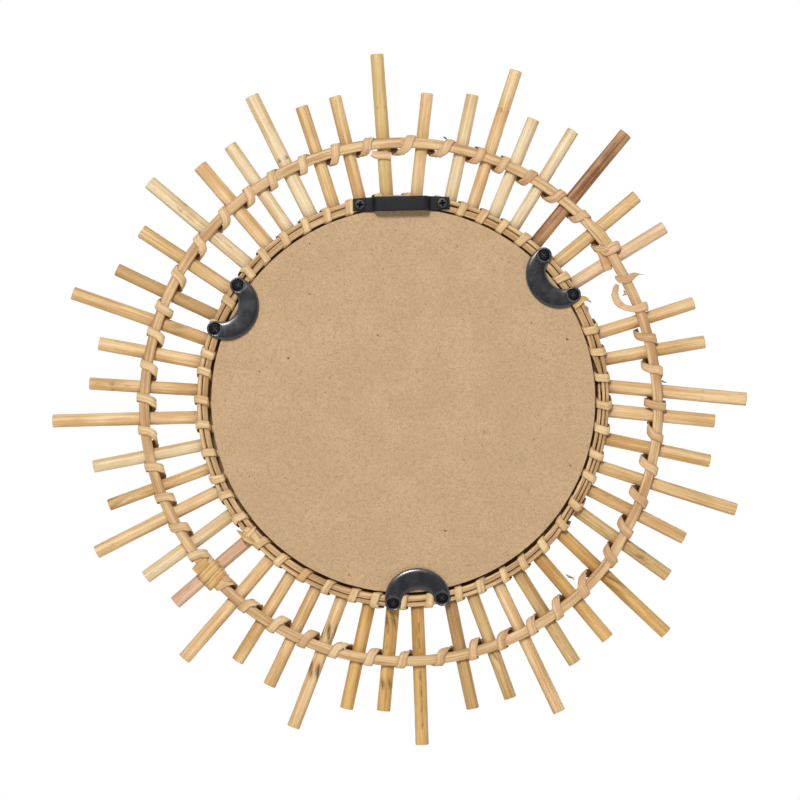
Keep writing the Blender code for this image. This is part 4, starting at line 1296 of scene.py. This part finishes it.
def make_clips(lacquer, sunk):
    """The crescent clips, each turned and set on the ring at its bearing, and two screws in each."""
    crescent = clip_rings()
    for index, (node, bearing) in enumerate(CLIP_BEARINGS.items()):
        twist = CLIP_TWISTS[node]
        points = set_on_ring(*crescent, CLIP_SEAT, bearing, twist, FITTING_SEAT)
        show(skin(f"crescent_{node}", points), lacquer, "clip", node)
        seat = FITTING_SEAT + CLIP_THICKNESS - CLIP_SCREW_SINK
        for side in (-1, 1):
            x, depth, z, dark = screw_rings(*CLIP_SCREW, 0.4 + index + side)
            points = set_on_ring(x + side * CLIP_ARC, depth, z, CLIP_SEAT, bearing, twist, seat)
            name = f"screw_{node}_{'a' if side < 0 else 'b'}"
            show(skin(name, points, stain_and_shade=dark), sunk, "clip")


def make_hanger(matt, steel):
    """The strap hanger: a rounded rectangle carried along the strap's bent side view, and its two screws."""
    half = (HANGER_HIGH.x - HANGER_LOW.x) / 2
    middle_x = (HANGER_HIGH.x + HANGER_LOW.x) / 2
    middle_z = (HANGER_HIGH.z + HANGER_LOW.z) / 2
    half_thick = STRAP_THICKNESS / 2
    seat = STICK_PLANE + FITTING_SEAT + half_thick
    top = HANGER_HIGH.y - half_thick
    bend = BRIDGE_REACH - BRIDGE_RAMP
    side_view = np.array([
        (-half, seat), (-BRIDGE_REACH, seat), (-bend, top), (bend, top), (BRIDGE_REACH, seat), (half, seat),
    ])
    path = round_corners(side_view, 0.0014, 9)
    along = unit(np.gradient(path, axis=0))
    across, up = super_ellipse(full_turn(32), (HANGER_HIGH.z - HANGER_LOW.z) / 2, half_thick, 7.0)
    to_end = np.minimum(path[:, 0] + half, half - path[:, 0])
    narrow = 1 - 0.16 * limited(1 - to_end / 0.0012) ** 2
    x = middle_x + path[:, 0, None] - along[:, 1, None] * up[None]
    y = path[:, 1, None] + along[:, 0, None] * up[None]
    rings = stacked(x, y, middle_z + across[None] * narrow[:, None])
    show(skin("strap_hanger", rings), matt, "strap", "hanger")
    for side in (-1, 1):
        x, depth, z, dark = screw_rings(*HANGER_SCREW, 0.15 * side)
        points = stacked(middle_x + side * HANGER_SCREW_REACH + x, seat + half_thick + depth, middle_z + z)
        name = f"screw_hanger_{'a' if side < 0 else 'b'}"
        show(skin(name, points, stain_and_shade=dark), steel, "strap")


class WALLMIRROR_OT_stage(Operator):
    """Make the camera, the lights and the pale floor"""

    bl_idname = "wallmirror.stage"
    bl_label = "Camera, Lights and Floor"

    def execute(self, context):
        make_camera()
        make_lights()
        make_floor()
        return {"FINISHED"}


def make_camera():
    """A long lens straight behind the mirror, rolled so that the rings stand as in the photograph."""
    data = bpy.data.cameras.new("Camera")
    data.sensor_width = SENSOR
    data.lens = SENSOR * CAMERA_DISTANCE / (PHOTO_PIXELS * PIXEL)
    data.clip_end = 100
    camera = bpy.data.objects.new("Camera", data)
    bpy.context.scene.collection.objects.link(camera)
    right = RING_CENTRE_PIXEL[0] - PHOTO_PIXELS / 2
    down = RING_CENTRE_PIXEL[1] - PHOTO_PIXELS / 2
    x = RING_X + right * PIXEL
    z = RING_Z + down * PIXEL
    y = STICK_PLANE + HOOP_NEAR + CAMERA_DISTANCE
    level = Matrix.Rotation(pi, 4, "Z") @ Matrix.Rotation(pi / 2, 4, "X")
    look = level @ Matrix.Rotation(-radians(RING_TURN), 4, "Z")
    camera.matrix_world = Matrix.Translation((x, y, z)) @ look
    bpy.context.scene.camera = camera


def make_lights():
    """White surroundings, a soft key light from above, a small glint from below and a fill in front.

    Glossy surfaces see the surroundings bright at the sides, dark behind the camera and grey in front.
    """
    scene = bpy.context.scene
    scene.view_settings.view_transform = "Standard"
    world = bpy.data.worlds.new("White surroundings")
    scene.world = world
    world.use_nodes = True
    world.node_tree.nodes.clear()
    nodes = Nodes(world.node_tree)
    backwards = nodes.separate(nodes.node("ShaderNodeTexCoord").outputs["Generated"], "Y")
    sides = nodes.fade(backwards, 0.45, 0.90, 1.6, 0.15, "LINEAR")
    front = nodes.fade(backwards, -0.95, -0.2, 0.40, 1.0, "LINEAR")
    strengths = (1.0, 0.26, nodes.maths("MULTIPLY", sides, front))
    seen, lit, mirrored = (nodes.background(strength) for strength in strengths)
    rays = nodes.node("ShaderNodeLightPath").outputs
    glossy = nodes.mix_shaders(rays["Is Glossy Ray"], lit, mirrored)
    chosen = nodes.mix_shaders(rays["Is Camera Ray"], glossy, seen)
    nodes.node("ShaderNodeOutputWorld", {"Surface": chosen})
    for light in LIGHTS:
        add_light(*light)


def add_light(name, offset, size, power):
    """A round lamp that faces the rings' centre."""
    data = bpy.data.lights.new(name, "AREA")
    data.shape = "DISK"
    data.size = size
    data.energy = power
    light = bpy.data.objects.new(name, data)
    bpy.context.scene.collection.objects.link(light)
    centre = Vector((RING_X, STICK_PLANE, RING_Z))
    light.location = centre + Vector(offset)
    light.rotation_euler = (-Vector(offset)).to_track_quat("-Z", "Y").to_euler()


def make_floor():
    """A plain pale round floor, far enough below to stay out of the photograph's view."""
    phase = full_turn(96)
    reach = np.array((0.3, 1.0))[:, None] * FLOOR_RADIUS
    rings = stacked(RING_X + reach * np.cos(phase), STICK_PLANE + reach * np.sin(phase), -FLOOR_BELOW)
    below = rings[::-1] - np.array((0, 0, FLOOR_THICKNESS))
    closed = np.concatenate((rings, below))
    mesh = skin("Floor", closed)
    s = Shading("pale_floor", 0.8, specular=0.2)
    clouds = s.noise(s.objects_place(), 3, detail=3)
    body = s.mix(s.fade(clouds, 0.3, 0.7), (0.83, 0.83, 0.82), (0.86, 0.86, 0.85))
    s.set({"Emission Color": (1, 1, 1, 1), "Emission Strength": 0.18})
    mesh.materials.append(s.finish(body))
    floor = bpy.data.objects.new("Floor", mesh)
    bpy.context.scene.collection.objects.link(floor)


class WALLMIRROR_PT_panel(Panel):
    """Lists the parts of the mirror and their settings"""

    bl_label = "Wall Mirror"
    bl_idname = "WALLMIRROR_PT_panel"
    bl_space_type = "VIEW_3D"
    bl_region_type = "UI"
    bl_category = "Wall Mirror"

    def draw(self, context):
        layout = self.layout
        for group in (context.scene.wall_mirror_sizes, context.scene.wall_mirror_colours):
            for key in group.__annotations__:
                layout.prop(group, key)
        for operator in OPERATORS:
            layout.operator(operator.bl_idname)


OPERATORS = (
    WALLMIRROR_OT_sticks,
    WALLMIRROR_OT_hoops,
    WALLMIRROR_OT_bindings,
    WALLMIRROR_OT_board_and_glass,
    WALLMIRROR_OT_fittings,
    WALLMIRROR_OT_stage,
)
CLASSES = (MirrorSizes, MirrorColours, *OPERATORS, WALLMIRROR_PT_panel)


def register():
    for cls in CLASSES:
        bpy.utils.register_class(cls)
    bpy.types.Scene.wall_mirror_sizes = PointerProperty(type=MirrorSizes)
    bpy.types.Scene.wall_mirror_colours = PointerProperty(type=MirrorColours)


def unregister():
    del bpy.types.Scene.wall_mirror_colours
    del bpy.types.Scene.wall_mirror_sizes
    for cls in reversed(CLASSES):
        bpy.utils.unregister_class(cls)


def main():
    register()
    bpy.ops.wallmirror.sticks()
    bpy.ops.wallmirror.hoops()
    bpy.ops.wallmirror.bindings()
    bpy.ops.wallmirror.board_and_glass()
    bpy.ops.wallmirror.fittings()
    bpy.ops.wallmirror.stage()


if __name__ == "__main__":
    main()
